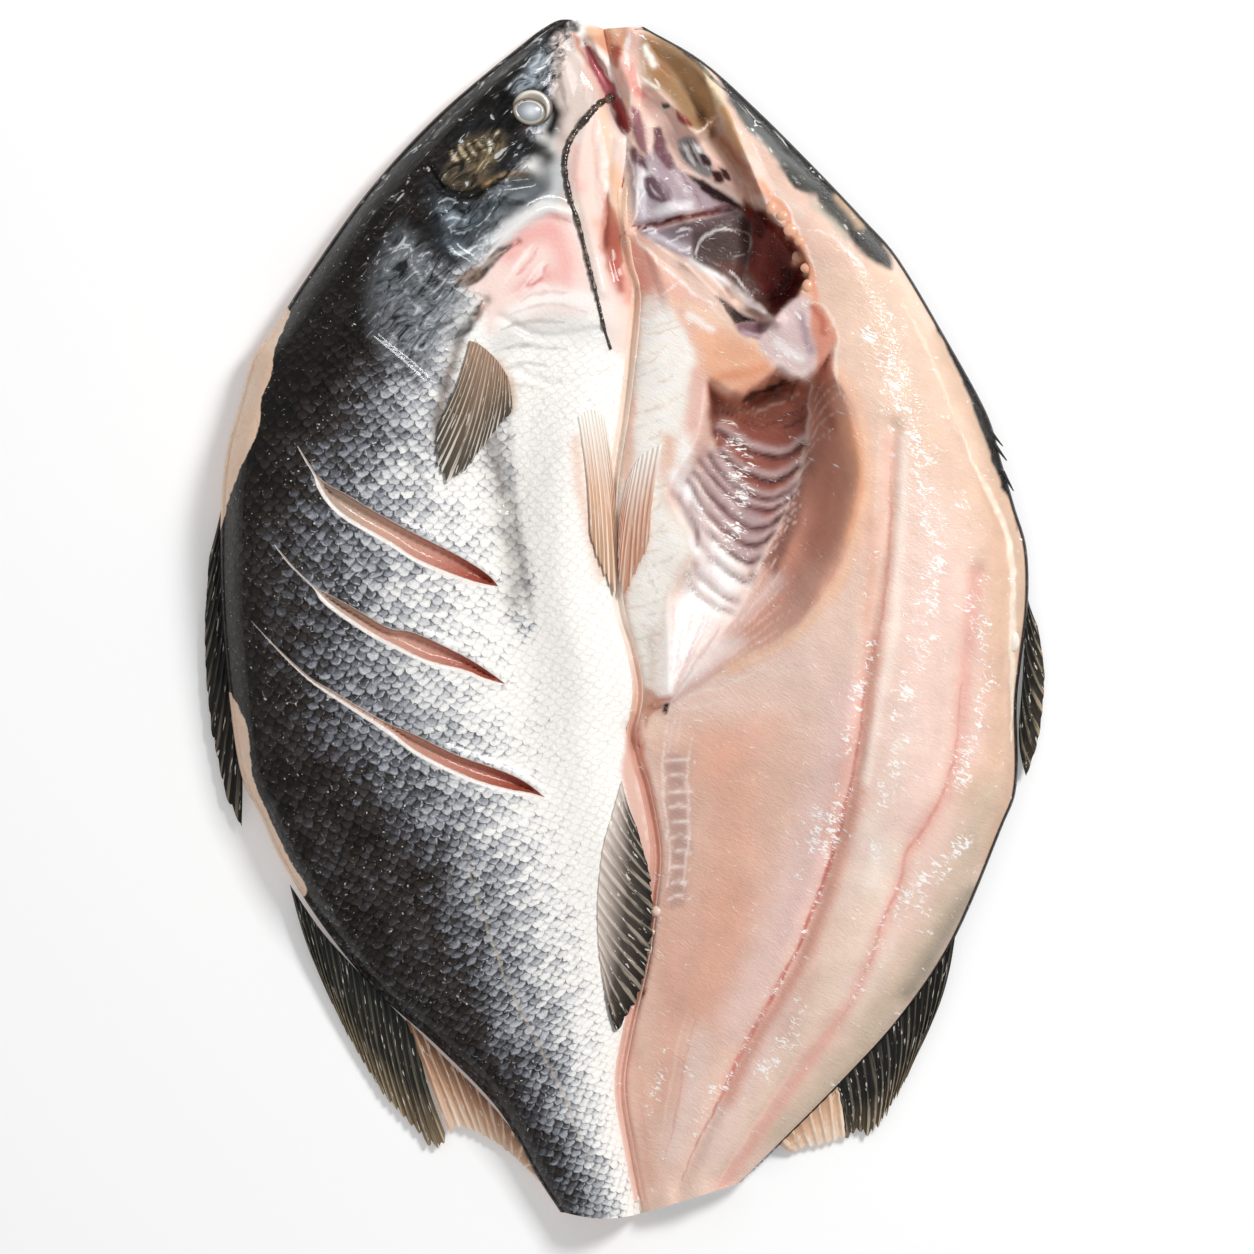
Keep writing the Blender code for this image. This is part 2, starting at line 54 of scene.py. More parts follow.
MM = 0.001
LEFT_EDGE = [
    (-12.5, 149.8), (-16.5, 149.7), (-20, 147.8), (-24.5, 144.5), (-46, 126.5), (-64, 107), (-79, 86),
    (-88, 72), (-93, 65), (-96.5, 53), (-99.5, 42), (-101, 28), (-101, 4.5), (-99, -19.5), (-96, -39.5),
    (-91, -50), (-86, -61), (-75.5, -77.5), (-62.5, -93.5), (-47.5, -107), (-31.5, -123.5), (-22, -140),
    (-16, -149.2),
]
HINGE = [
    (-5, 147.5), (-3.5, 140), (1, 121.5), (-0.5, 104.5), (1, 89.5), (3, 79.5), (0.5, 54.5), (-3, 29.5),
    (-1.5, 4.5), (2, -8.5), (3.5, -19), (2, -31), (5.5, -43.5), (8, -58.5), (7, -71), (5, -86), (0.5, -106),
    (-1, -118.5), (1.5, -134), (4.5, -149.5),
]
RIGHT_EDGE = [
    (5, 148), (19.5, 139.5), (33.5, 127), (48, 112.5), (60.3, 99.5), (69, 89.5), (81.5, 68.5), (91, 51),
    (94.5, 39.5), (98, 27.5), (101, 17), (101.3, 3), (99.5, -12), (98.5, -22.5), (98.5, -42), (94.5, -53.5),
    (83, -80.5), (70, -100), (55.5, -116), (39, -132.5), (30, -141.5),
]

# Height of the unopened body at stations along it (y), at shares of the way from hinge to edge.
LEFT_SHARES = [0, 0.12, 0.28, 0.5, 0.78, 0.93, 1]
LEFT_STATIONS = {
    149: [3, 5, 6, 7, 6, 4, 2.8],
    130: [4, 7, 9, 14, 14, 9, 3.5],
    100: [5, 9, 13, 18, 19, 13, 4.5],
    70: [7, 12, 13, 18, 21, 16, 6],
    30: [8, 14, 11, 18, 22, 18, 7],
    -10: [8, 14, 12, 19, 21, 16.5, 6.5],
    -50: [7, 12, 13.5, 18.5, 19, 14, 5.5],
    -100: [6, 10, 13, 15, 14, 9.5, 4],
    -149: [4.5, 8, 11, 12, 10, 7, 3.5],
}
RIGHT_SHARES = [0, 0.1, 0.3, 0.6, 0.8, 0.93, 1]
RIGHT_STATIONS = {
    149: [3, 5, 6, 7, 6, 4, 2.8],
    120: [5, 9, 10, 12, 13, 10, 4.5],
    90: [7, 11, 13, 18, 20, 15, 5.5],
    50: [8, 12, 16, 22.5, 21.5, 15, 6],
    0: [8, 12, 17, 23, 20, 14, 5.5],
    -30: [7, 9.5, 15, 22, 19, 13, 5.5],
    -80: [6, 8, 13, 17.5, 15, 10, 4.5],
    -120: [5, 7, 10, 12.5, 10.5, 7.5, 4],
    -149: [4.5, 6, 8, 9, 8, 6, 3.5],
}
EDGE_LIFT = 2.0
EDGE_CURL = 9.0
LEAST_FLESH = 1.8
HIGHEST = 22.8


def smooth_line(points, per_span=6):
    """Points along the Catmull-Rom curve through the given points."""
    given = np.array(points, float)
    padded = np.vstack([2 * given[0] - given[1], given, 2 * given[-1] - given[-2]])
    t = (np.arange(per_span) / per_span)[None, :, None]
    a, b, c, d = (padded[i : len(padded) - 3 + i][:, None] for i in range(4))
    bend = (2 * a - 5 * b + 4 * c - d) * t**2 + (3 * b - a - 3 * c + d) * t**3
    found = b + 0.5 * ((c - a) * t + bend)
    return np.vstack([found.reshape(-1, given.shape[1]), given[-1:]])


def spread(line, shares):
    """Points of a line at the given shares of its length."""
    steps = np.linalg.norm(np.diff(line, axis=0), axis=1)
    along = np.concatenate([[0], np.cumsum(steps)]) / steps.sum()
    return np.stack([np.interp(shares, along, line[:, i]) for i in range(line.shape[1])], axis=-1)


def ramp(low, high, value):
    """Smooth step from 0 at low to 1 at high: t * t * (3 - 2 t)."""
    t = np.clip((value - low) / (high - low), 0, 1)
    return t * t * (3 - 2 * t)


def distance(x, y, line, reach=400.0):
    """Distance from each point to a line of points, and reach for all that lies farther off."""
    low, high = line.min(axis=0) - reach, line.max(axis=0) + reach
    near = (x > low[0]) & (x < high[0]) & (y > low[1]) & (y < high[1])
    px, py = x[near], y[near]
    least = np.full(px.shape, float(reach))
    for (ax, ay), (bx, by) in zip(line[:-1], line[1:]):
        dx, dy = bx - ax, by - ay
        t = np.clip(((px - ax) * dx + (py - ay) * dy) / (dx * dx + dy * dy + 1e-12), 0, 1)
        least = np.minimum(least, np.hypot(px - ax - t * dx, py - ay - t * dy))
    found = np.full(x.shape, float(reach))
    found[near] = least
    return found


def bell(x, y, points, breadth, spans=4):
    """Fades from 1 on a smooth line to 0 away from it: exp(-(distance / breadth) squared)."""
    return np.exp(-((distance(x, y, smooth_line(points), spans * breadth) / breadth) ** 2))


def depth_inside(x, y, outline, reach=400.0):
    """Distance to a closed outline: positive inside it, negative outside, -reach far away."""
    line = smooth_line(list(outline) + [outline[0]], 3)
    low, high = line.min(axis=0), line.max(axis=0)
    near = (x > low[0]) & (x < high[0]) & (y > low[1]) & (y < high[1])
    px, py = x[near], y[near]
    within = np.zeros(px.shape, bool)
    for (ax, ay), (bx, by) in zip(line[:-1], line[1:]):
        crossed = (ay > py) != (by > py)
        within ^= crossed & (px < (bx - ax) * (py - ay) / (by - ay + 1e-12) + ax)
    side = np.full(x.shape, -1.0)
    side[near] = np.where(within, 1.0, -1.0)
    return side * distance(x, y, line, reach)


NET = 61


def wobble(x, y, size, seed):
    """Soft unevenness from -1 to 1: seeded random values on a square net, blended smoothly."""
    net = np.random.default_rng(seed).uniform(-1, 1, (NET, NET))
    column, row = np.floor(x / size), np.floor(y / size)
    s, t = ramp(0, 1, x / size - column), ramp(0, 1, y / size - row)
    i, j = column.astype(int), row.astype(int)
    i, next_i, j, next_j = i % NET, (i + 1) % NET, j % NET, (j + 1) % NET
    low = net[i, j] * (1 - s) + net[next_i, j] * s
    high = net[i, next_j] * (1 - s) + net[next_i, next_j] * s
    return low * (1 - t) + high * t


def guide_x(points, y):
    """Where a guide line crosses each y."""
    line = smooth_line(points)[::-1]
    return np.interp(y, line[:, 1], line[:, 0])


def station_heights(share, y, shares, stations):
    """Height read smoothly between the stations and their shares."""
    places = np.array(sorted(stations), float)
    steps = 80
    fine = np.linspace(0, 1, steps + 1)
    rows = []
    for place in places:
        line = smooth_line(np.stack([shares, stations[int(place)]], axis=1), 8)
        rows.append(np.interp(fine, line[:, 0], line[:, 1]))
    rows = np.array(rows)
    row = np.interp(y, places, np.arange(len(places)))
    low = np.clip(row.astype(int), 0, len(places) - 2)
    blend = ramp(0, 1, row - low)
    column = np.clip(share, 0, 1) * steps
    left = np.clip(column.astype(int), 0, steps - 1)
    part = column - left
    below = rows[low, left] * (1 - part) + rows[low, left + 1] * part
    above = rows[low + 1, left] * (1 - part) + rows[low + 1, left + 1] * part
    return below * (1 - blend) + above * blend


def uncut_height(x, y):
    """The body before anything is opened: two rounded halves that meet at the hinge."""
    hinge = guide_x(HINGE, y)
    left = (hinge - x) / (hinge - guide_x(LEFT_EDGE, y))
    right = (x - hinge) / (guide_x(RIGHT_EDGE, y) - hinge)
    return np.where(
        x < hinge,
        station_heights(left, y, LEFT_SHARES, LEFT_STATIONS),
        station_heights(right, y, RIGHT_SHARES, RIGHT_STATIONS),
    )


def under_height(x, y):
    """The underside: flat, and curling up as the square of the nearness to the edge."""
    left, right = smooth_line(LEFT_EDGE), smooth_line(RIGHT_EDGE)
    line = np.vstack([left, right[::-1], left[:1]])
    return EDGE_LIFT * (1 - distance(x, y, line, EDGE_CURL) / EDGE_CURL) ** 2


# The openings of the body: their outlines, and their floors, walls and lips.
CAVITY = [
    (53, 68.5), (52, 61.5), (56, 54), (59, 45), (59.5, 35.5), (58.5, 28), (55, 16), (50, 7), (40.5, -5),
    (24.5, -13), (12, -21), (10.8, -8), (10.8, 6), (16.5, 12.5), (17.5, 18.5), (12, 27), (11, 31),
    (12, 35.5), (17.8, 45), (19.3, 53.5), (21, 60), (29.5, 56), (38, 63), (44, 60),
]
CAVITY_RIM = [(53, 68.5), (56, 54), (59.5, 35.5), (55, 16), (50, 7), (40.5, -5), (12, -21)]
CAVITY_FLOOR = 4.6
CAVITY_WALL = 13.0
CAVITY_LIP = 5.0
GILL = [
    (-1.5, 124), (4, 134), (13, 127.5), (18, 121), (24, 126), (29.5, 117.5), (34.5, 106), (36.5, 101.5),
    (41, 96), (44.5, 92), (46.5, 85.5), (43, 79.5), (38.5, 75.5), (34, 70), (26.5, 74.5), (23, 80.5),
    (15.5, 87.5), (4, 96), (2.5, 98), (2.5, 110.5),
]
GILL_DEEP = [
    (30, 112), (34.5, 105), (37, 100), (41.5, 95.5), (44.5, 91), (45, 85.5), (41, 79.5), (33, 77), (26, 79),
    (28, 90), (29, 100),
]
JAW_HOLLOW = [(5, 145.5), (4.5, 136), (13, 128.5), (18, 121), (24, 126), (18.5, 137), (11, 144)]
# Outline, floor height and breadth of the wall.
HOLLOWS = [(GILL, 5.5, 3.0), (GILL_DEEP, 2.4, 3.0), (JAW_HOLLOW, 4.6, 5.0)]
LOBE = [(34, 70), (38.5, 75.5), (42, 79), (46, 80.5), (47, 70), (45.5, 60.5), (41, 61), (38, 63)]
FLAP = [(4, 94), (16, 85), (26, 73), (36, 67), (37, 62), (29.5, 56.5), (20, 60), (12, 70)]

# Outline and height of the flap of lining and of the lobe beside it.
RAISED = [(FLAP, 12.0), (LOBE, 14.5)]

# Score cuts: upper lip and lower lip of each, from the back to the belly.
SLASHES = [
    [[(-81.3, 42.7), (-79.1, 39.2), (-76.8, 35.6), (-73.8, 33.1), (-68.8, 30.4), (-62.5, 26.6), (-52, 20.8),
        (-41.7, 15.6), (-34.4, 11), (-31.4, 7.8)],
        [(-81.3, 42.4), (-79.3, 38.9), (-77.1, 35.4), (-73.5, 29.1), (-68.8, 24.8), (-58.5, 18.8),
        (-52, 14.6), (-43.2, 10.8), (-36.4, 8.5), (-31.4, 7.5)]],
    [[(-87.1, 18.1), (-82.8, 13.1), (-77.3, 7.8), (-73.8, 5.8), (-66.5, 1.8), (-58.5, -2.8), (-52, -4),
        (-41.2, -9), (-34.4, -13.1), (-29.6, -16.6)],
        [(-87.1, 17.8), (-83.1, 12.8), (-77.6, 7.5), (-72.8, 2.8), (-64, -3.3), (-57.2, -7), (-49.2, -10.8),
        (-39.7, -13.3), (-35.1, -15.3), (-29.9, -16.8)]],
    [[(-93.1, -0.8), (-86.8, -7.3), (-78.8, -14.6), (-72.8, -18.3), (-66.5, -22.1), (-60, -25.9),
        (-52, -29.4), (-41.7, -34.4), (-30.4, -38.4), (-24.3, -41.4), (-19.8, -44.9)],
        [(-93.1, -1), (-87.1, -7.5), (-79.1, -15.1), (-72.8, -19.3), (-66.5, -23.3), (-58.2, -28.6),
        (-51.2, -33.9), (-38.4, -40.2), (-28.4, -43.2), (-24.1, -43.9), (-19.8, -45.2)]],
]
SLASH_DEPTH = 2.4
SLASH_LIP = 0.4
SLASH_STEPS = 59
NO_CUT = 9.0

# Ribs under the lining of the belly: the dark hollows between them, from the hinge side out.
RIB_GAPS = [
    [(23.3, 46.4), (27.4, 43.9), (32.4, 41.2), (38.9, 39.9), (45.2, 43.2)],
    [(24.6, 40.4), (27.9, 37.4), (32.4, 34.9), (37.9, 34.1), (43.9, 37.6)],
    [(21.1, 40.4), (23.6, 36.4), (27.1, 32.6), (32.1, 30.1), (37.9, 29.4), (43.2, 33.1)],
    [(19.1, 38.9), (23.3, 33.4), (28.6, 28.9), (34.1, 26.6), (39.2, 27.6), (42.2, 30.4)],
    [(17.8, 35.9), (21.1, 30.9), (26.1, 25.6), (31.6, 22.3), (36.1, 22.6), (40.4, 25.9)],
    [(16.3, 33.9), (19.1, 28.4), (24.1, 22.1), (30.4, 18.1), (34.1, 18.1), (37.4, 20.8)],
    [(16.6, 27.6), (20.3, 21.8), (25.4, 16.8), (30.4, 13.6), (33.6, 14.3)],
    [(13.6, 29.4), (17.6, 21.8), (20.6, 16.3), (26.1, 10.8), (30.6, 8.8), (32.1, 10.3)],
    [(12, 31.4), (14.8, 28.1), (16.6, 25.6), (18.3, 21.8), (18.3, 18.1)],
    [(17.6, 12.8), (19.6, 9.3), (24.1, 5.3), (28.1, 3.5)],
    [(15.8, 9.8), (17.6, 6.3), (22.1, 2.8), (26.6, 1)],
]

# Raised folds (positive) and grooves (negative): height, half breadth, line.
FOLDS = [
    (-4.5, 1.6, [(-10, 143.6), (-7.5, 138.3), (-4.5, 132.8), (-2.8, 127.8), (0, 122.2)]),
    (1.4, 1.5, [(-13.6, 146.8), (-9.8, 141.1), (-6, 135.3), (-3, 130.3)]),
    (1.6, 2.0, [(-1, 139), (1.5, 129), (-1.5, 117), (-2, 104), (0, 96)]),
    (1.5, 2.2, [(-9, 124), (-11, 110), (-8, 96), (-5, 82)]),
    (1.0, 1.5, [(-5, 120), (-6, 108), (-4, 96), (-1, 84)]),
    (2.4, 2.0, [(12, 146), (19, 138), (25.5, 127.5), (29.5, 117.5), (34, 106.5)]),
    (1.5, 1.7, [(-35.1, 87.6), (-31.9, 92.6), (-26.1, 98.1), (-19.6, 102.2), (-14.1, 101.2)]),
    (-1.6, 0.8, [(-39.9, 82.8), (-35.6, 85.8), (-30.6, 91.4), (-26.6, 93.6)]),
    (-2.4, 1.3, [(-34.9, 78.8), (-38.7, 73.3), (-43.2, 68.8)]),
    (-1.6, 1.2, [(-48.7, 111.7), (-44.9, 106.4), (-38.7, 105.4), (-33.6, 108.2), (-27.4, 109.2),
        (-23.6, 109.7)]),
    (1.2, 1.6, [(-46, 100), (-43.5, 92), (-38, 88)]),
    (1.2, 4.0, [(-22, 141), (-38, 127), (-54, 111), (-68, 94)]),
    (2.6, 1.6, [(16.1, 89.1), (22.8, 85.6), (30.4, 79.6), (38.2, 74)]),
    (3.4, 4.5, [(4, 122), (8, 108), (15, 100), (24, 97)]),
    (3.0, 3.5, [(8, 130), (17, 118), (24, 112), (30, 104)]),
    (-2.2, 0.9, [(3, 97.6), (16.6, 100.4), (30.1, 102.2)]),
    (-1.7, 2.2, [(67, 47), (65.5, 22), (62, -1), (59.5, -21), (57.5, -38), (52.5, -57.5), (43, -85.5),
        (29.5, -109.5), (24.5, -119.5), (13.5, -143)]),
    (-1.3, 2.6, [(88, 11), (85.5, -9), (82.5, -38), (76, -51), (70.5, -59.5), (65.5, -76.5), (51, -103),
        (39, -119.5), (23, -143)]),
    (0.7, 1.6, [(82, 50), (90, 34), (96, 16), (95.5, -10), (95, -34)]),
    (-3.0, 1.1, [(3, 80), (0.5, 54.5), (-3, 29.5), (-1.5, 4.5), (2, -8.5), (3.5, -19), (2, -31),
        (5.5, -43.5), (8, -58.5), (7, -71), (5, -86), (0.5, -106), (-1, -118.5), (1.5, -134),
        (4.5, -149.5)]),
    (-3.0, 1.6, [(1.5, -28), (2.8, -32.5)]),
    (-1.0, 1.3, [(-61, 71), (-50, 62), (-40, 50), (-34, 40), (-30, 28)]),
    (-0.8, 1.2, [(-30, 52), (-29, 36), (-27, 18), (-24, 0)]),
    (-0.8, 1.1, [(-31, 75), (-20, 70), (-6, 72)]),
    (-0.7, 1.0, [(-27, 62), (-17, 58), (-5, 61)]),
]
RIB_DEPTH = 1.1


def slash_marks(x, y):
    """For the nearest score cut: the signed way off its middle line, positive towards the head,
    its half breadth there, and the share of its length. Thin lines stay crisp, as the sign turns."""
    side, half, share = np.full(x.shape, NO_CUT), np.full(x.shape, -NO_CUT), np.zeros(x.shape)
    shares = np.linspace(0, 1, SLASH_STEPS + 1)
    for upper, lower in SLASHES:
        top, low = spread(smooth_line(upper), shares), spread(smooth_line(lower), shares)
        line, breadth = (top + low) / 2, np.linalg.norm(top - low, axis=1) / 2
        for i in range(SLASH_STEPS):
            dx, dy = line[i + 1] - line[i]
            long = math.hypot(dx, dy)
            from_x, from_y = x - line[i, 0], y - line[i, 1]
            t = (from_x * dx + from_y * dy) / long**2
            off = (from_y * dx - from_x * dy) / long
            on = np.clip(t, 0, 1)
            past_end = (i == 0) & (t < 0) | (i == SLASH_STEPS - 1) & (t > 1)
            beyond = np.where(past_end, np.maximum(-t, t - 1), 0) * long
            away = np.hypot(from_x - on * dx, from_y - on * dy)
            near = away < np.minimum(np.abs(side), NO_CUT - 0.1)
            side = np.where(near, np.where(off > 0, away, -away), side)
            half = np.where(near, breadth[i] + (breadth[i + 1] - breadth[i]) * on - beyond, half)
            share = np.where(near, (i + on) / SLASH_STEPS, share)
    return side, half, share


def carve_openings(x, y, z):
    """Belly cavity with its broad wall, gill chamber and jaw hollow, each eased in from its rim."""
    inside = depth_inside(x, y, CAVITY)
    wall = 1 - ramp(0, CAVITY_WALL, distance(x, y, smooth_line(CAVITY_RIM)))
    lip = 1 - ramp(0, CAVITY_LIP, inside)
    floor = CAVITY_FLOOR + (z - CAVITY_FLOOR) * np.maximum(wall**1.3, lip)
    z = np.where(inside > 0, floor, z)
    for outline, floor, breadth in HOLLOWS:
        inside = depth_inside(x, y, outline, 12)
        z = np.where(inside > 0, z + (floor - z) * ramp(0, breadth, inside), z)
    return z


def add_forms(x, y, z):
    """Flap, lobe, rib hollows, score cuts and folds: each a bell or a smooth step from its line."""
    for outline, rise in RAISED:
        inside = depth_inside(x, y, outline, 8)
        z = np.where(inside > 0, np.maximum(z, z + (rise - z) * ramp(0, 3, inside)), z)
    for line in RIB_GAPS:
        z = z - RIB_DEPTH * bell(x, y, line, 1.0, spans=5)
    side, half, _ = slash_marks(x, y)
    inside = half - np.abs(side)
    lip = SLASH_LIP * np.exp(-((inside + 0.7) ** 2) * 1.6) * (inside > -4)
    z = z - SLASH_DEPTH * ramp(0, 1.4, inside) + lip
    for height, breadth, points in FOLDS:
        z = z + height * bell(x, y, points, breadth)
    return z


# ---- Skin half -------------------------------------------------------------------------------
# The half that lies skin side up: wet scaled skin over a fillet, black-brown along the back at
# the outer edge, slate and silver on the flank, cream on the belly. Its underside is bare flesh.
# It was cut along the back, scored three times, and left joined to the other half at the belly.

SNOUT, TAIL = 149.5, -149.5
# Start, end and number of rows in each stretch of the length.
ROW_BANDS = [(SNOUT, 60, 198), (60, -50, 150), (-50, -74, 30), (-74, TAIL, 42)]
TOP_COLUMNS, WALL_COLUMNS, UNDER_COLUMNS = 187, 9, 36
AROUND = TOP_COLUMNS + WALL_COLUMNS + UNDER_COLUMNS + 1
EDGE_COLUMN = TOP_COLUMNS + WALL_COLUMNS // 2
CROWDING = 1.3
EDGE_ROUND = 1.1
TAIL_BULGE = 1.1
SCALE_ROW, SCALE_BREADTH = 1.35, 3.3


def body_rows():
    """Shares of the way down the fish: rows stand close on the head and wide at the tail."""
    bands = [np.linspace(top, end, count, endpoint=False) for top, end, count in ROW_BANDS]
    return (SNOUT - np.concatenate(bands + [[TAIL]])) / (SNOUT - TAIL)


def half_rings(edge_points, bulge):
    """Rings round one half. Each runs on top from hinge to edge, down a rounded wall, back below.

    A place on top is hinge + (edge - hinge) * share, share = 1 - (1 - t) ** CROWDING, so
    columns crowd towards the edge. On the wall the place swings out by sin(a) and falls by cos(a)."""
    along = body_rows()
    hinge, edge = spread(smooth_line(HINGE), along), spread(smooth_line(edge_points), along)
    outward = (edge - hinge) / np.linalg.norm(edge - hinge, axis=1)[:, None]
    edge = edge - outward * EDGE_ROUND
    share = 1 - (1 - np.linspace(0, 1, TOP_COLUMNS)) ** CROWDING
    back = np.linspace(1, 0, UNDER_COLUMNS + 1)
    angle = np.linspace(0, math.pi, WALL_COLUMNS + 2)[1:-1]
    reach = np.concatenate([share, np.ones(WALL_COLUMNS), back])
    plan = hinge[:, None] + (edge - hinge)[:, None] * reach[None, :, None]
    near_tail = ramp(0.95, 1, along)[:, None]
    plan[..., 1] -= bulge * near_tail * np.sin(math.pi * reach)
    wall = slice(TOP_COLUMNS, TOP_COLUMNS + WALL_COLUMNS)
    swing = np.zeros(len(reach))
    swing[wall] = EDGE_ROUND * np.sin(angle)
    x, y = plan[..., 0], plan[..., 1]
    below = under_height(x, y)
    top = x[:, :TOP_COLUMNS], y[:, :TOP_COLUMNS]
    height = add_forms(*top, carve_openings(*top, uncut_height(*top)))
    z = below.copy()
    z[:, :TOP_COLUMNS] = np.clip(height, below[:, :TOP_COLUMNS] + LEAST_FLESH, HIGHEST)
    edge_top, edge_below = z[:, wall.start - 1][:, None], below[:, wall.stop][:, None]
    z[:, wall] = edge_below + (edge_top - edge_below) * (1 + np.cos(angle)) / 2
    x, y = x + swing * outward[:, :1], y + swing * outward[:, 1:]
    return np.stack([x, y, z], axis=-1)


def loft(name, rings, split, slots=None, cap_slot=0):
    """A closed skin over rings of points. Quads join neighbouring rings, and each end is zipped
    shut by triangles between the ring's first split points and the rest of it. slots gives the
    material of the strip after each ring point. Faces are turned outwards by the volume's sign."""
    rows, around = rings.shape[:2]
    index = np.arange(rows * around).reshape(rows, around)
    ahead = np.roll(index, -1, axis=1)
    quads = np.stack([index[:-1], ahead[:-1], ahead[1:], index[1:]], axis=-1).reshape(-1, 4)
    caps = []
    for ring, turn in ((index[0], -1), (index[-1], 1)):
        upper, lower = ring[:split], ring[split:][::-1]
        j = np.rint(np.linspace(0, len(lower) - 1, split)).astype(int)
        step = j[1:] > j[:-1]
        caps.append(np.stack([upper[:-1], upper[1:], lower[j[:-1]]], axis=-1)[:, ::turn])
        caps.append(np.stack([upper[1:], lower[j[1:]], lower[j[:-1]]], axis=-1)[step][:, ::turn])
    caps = np.concatenate(caps)
    points = rings.reshape(-1, 3)
    corners = points[np.concatenate([caps, quads[:, :3], quads[:, [0, 2, 3]]])]
    if np.linalg.det(corners).sum() < 0:
        quads, caps = quads[:, ::-1], caps[:, ::-1]
    mesh = bpy.data.meshes.new(name)
    mesh.vertices.add(len(points))
    mesh.vertices.foreach_set("co", (points * MM).ravel())
    mesh.loops.add(quads.size + caps.size)
    mesh.loops.foreach_set("vertex_index", np.concatenate([quads.ravel(), caps.ravel()]))
    mesh.polygons.add(len(quads) + len(caps))
    starts = np.concatenate([np.arange(len(quads)) * 4, quads.size + np.arange(len(caps)) * 3])
    mesh.polygons.foreach_set("loop_start", starts)
    strip = np.zeros(around, int) if slots is None else slots
    material = np.concatenate([np.tile(strip, rows - 1), np.full(len(caps), cap_slot)])
    mesh.polygons.foreach_set("material_index", material)
    mesh.update(calc_edges=True)
    mesh.shade_smooth()
    mesh.set_sharp_from_angle(angle=math.radians(60))
    piece = bpy.data.objects.new(name, mesh)
    bpy.context.scene.collection.objects.link(piece)
    return piece


def note(piece, name, values):
    """Stores one number, or one colour with its cover, for each vertex of a piece."""
    kind, field = ("FLOAT", "value") if values.ndim == 1 else ("FLOAT_COLOR", "color")
    layer = piece.data.attributes.new(name, kind, "POINT")
    layer.data.foreach_set(field, values.astype(np.float32).ravel())


def lay_map(piece, name, u, v):
    """Stores a map of the surface: two lengths for each vertex, carried to the face corners."""
    mesh = piece.data
    corner = np.empty(len(mesh.loops), int)
    mesh.loops.foreach_get("vertex_index", corner)
    layer = mesh.uv_layers.new(name=name)
    layer.data.foreach_set("uv", np.stack([u[corner], v[corner]], axis=-1).astype(np.float32).ravel())


def linear(code):
    """sRGB hex colour as linear red, green and blue, with full cover as the fourth."""
    value = np.array([int(code[i : i + 2], 16) for i in (1, 3, 5)]) / 255
    found = np.where(value <= 0.04045, value / 12.92, ((value + 0.055) / 1.055) ** 2.4)
    return np.append(found, 1)


def lay_over(canvas, code, mask):
    """Covers a canvas with a colour: under * (1 - mask) + colour * mask."""
    return canvas * (1 - mask[:, None]) + linear(code) * mask[:, None]


def shades(value, places, codes):
    """Colour for each value, read on straight lines between the colours at the places."""
    stops = np.array([linear(code) for code in codes])
    return np.stack([np.interp(value.ravel(), places, stops[:, i]) for i in range(4)], axis=-1)


def paint(x, y, jobs, canvas=None):
    """Lays colours over each other. Cover adds up as the fourth value of the canvas.

    A "line" is a stroke with a half breadth, slim at its ends, an "area" is an outline with a
    soft border, and a "glow" is a stroke that fades like a bell. Places are nudged a little, so
    that borders look torn."""
    canvas = np.zeros((x.size, 4)) if canvas is None else canvas
    px = (x + 0.35 * wobble(x, y, 2.3, 11) + 0.12 * wobble(x, y, 0.9, 12)).ravel()
    py = (y + 0.35 * wobble(x, y, 2.3, 13) + 0.12 * wobble(x, y, 0.9, 14)).ravel()
    patchy = 0.72 + 0.28 * wobble(px, py, 1.1, 15)
    for kind, code, strength, breadth, points in jobs:
        if kind == "area":
            mask = ramp(-breadth, breadth, depth_inside(px, py, points, 2 * breadth + 1))
        elif kind == "glow":
            mask = bell(px, py, points, breadth)
        else:
            line = smooth_line(points)
            away = distance(px, py, line, 4 * breadth + 0.5)
            to_end = np.minimum(*(np.hypot(px - line[i, 0], py - line[i, 1]) for i in (0, -1)))
            long = np.linalg.norm(np.diff(line, axis=0), axis=1).sum()
            slim = breadth * (0.25 + 0.75 * ramp(0, 0.3 * long, to_end))
            mask = (1 - ramp(0.5, 1.4, away / slim)) * patchy
        canvas = lay_over(canvas, code, mask * strength)
    return canvas


def strokes(text):
    """Reads paint jobs from words: kind, colour, strength and breadth, then places as x,y."""
    jobs = []
    for word in text.split():
        if word in ("area", "glow", "line"):
            jobs.append((word, []))
        else:
            jobs[-1][1].append(word)
    read = []
    for kind, (code, strength, breadth, *places) in jobs:
        points = [tuple(map(float, place.split(","))) for place in places]
        read.append((kind, "#" + code, float(strength), float(breadth), points))
    return read


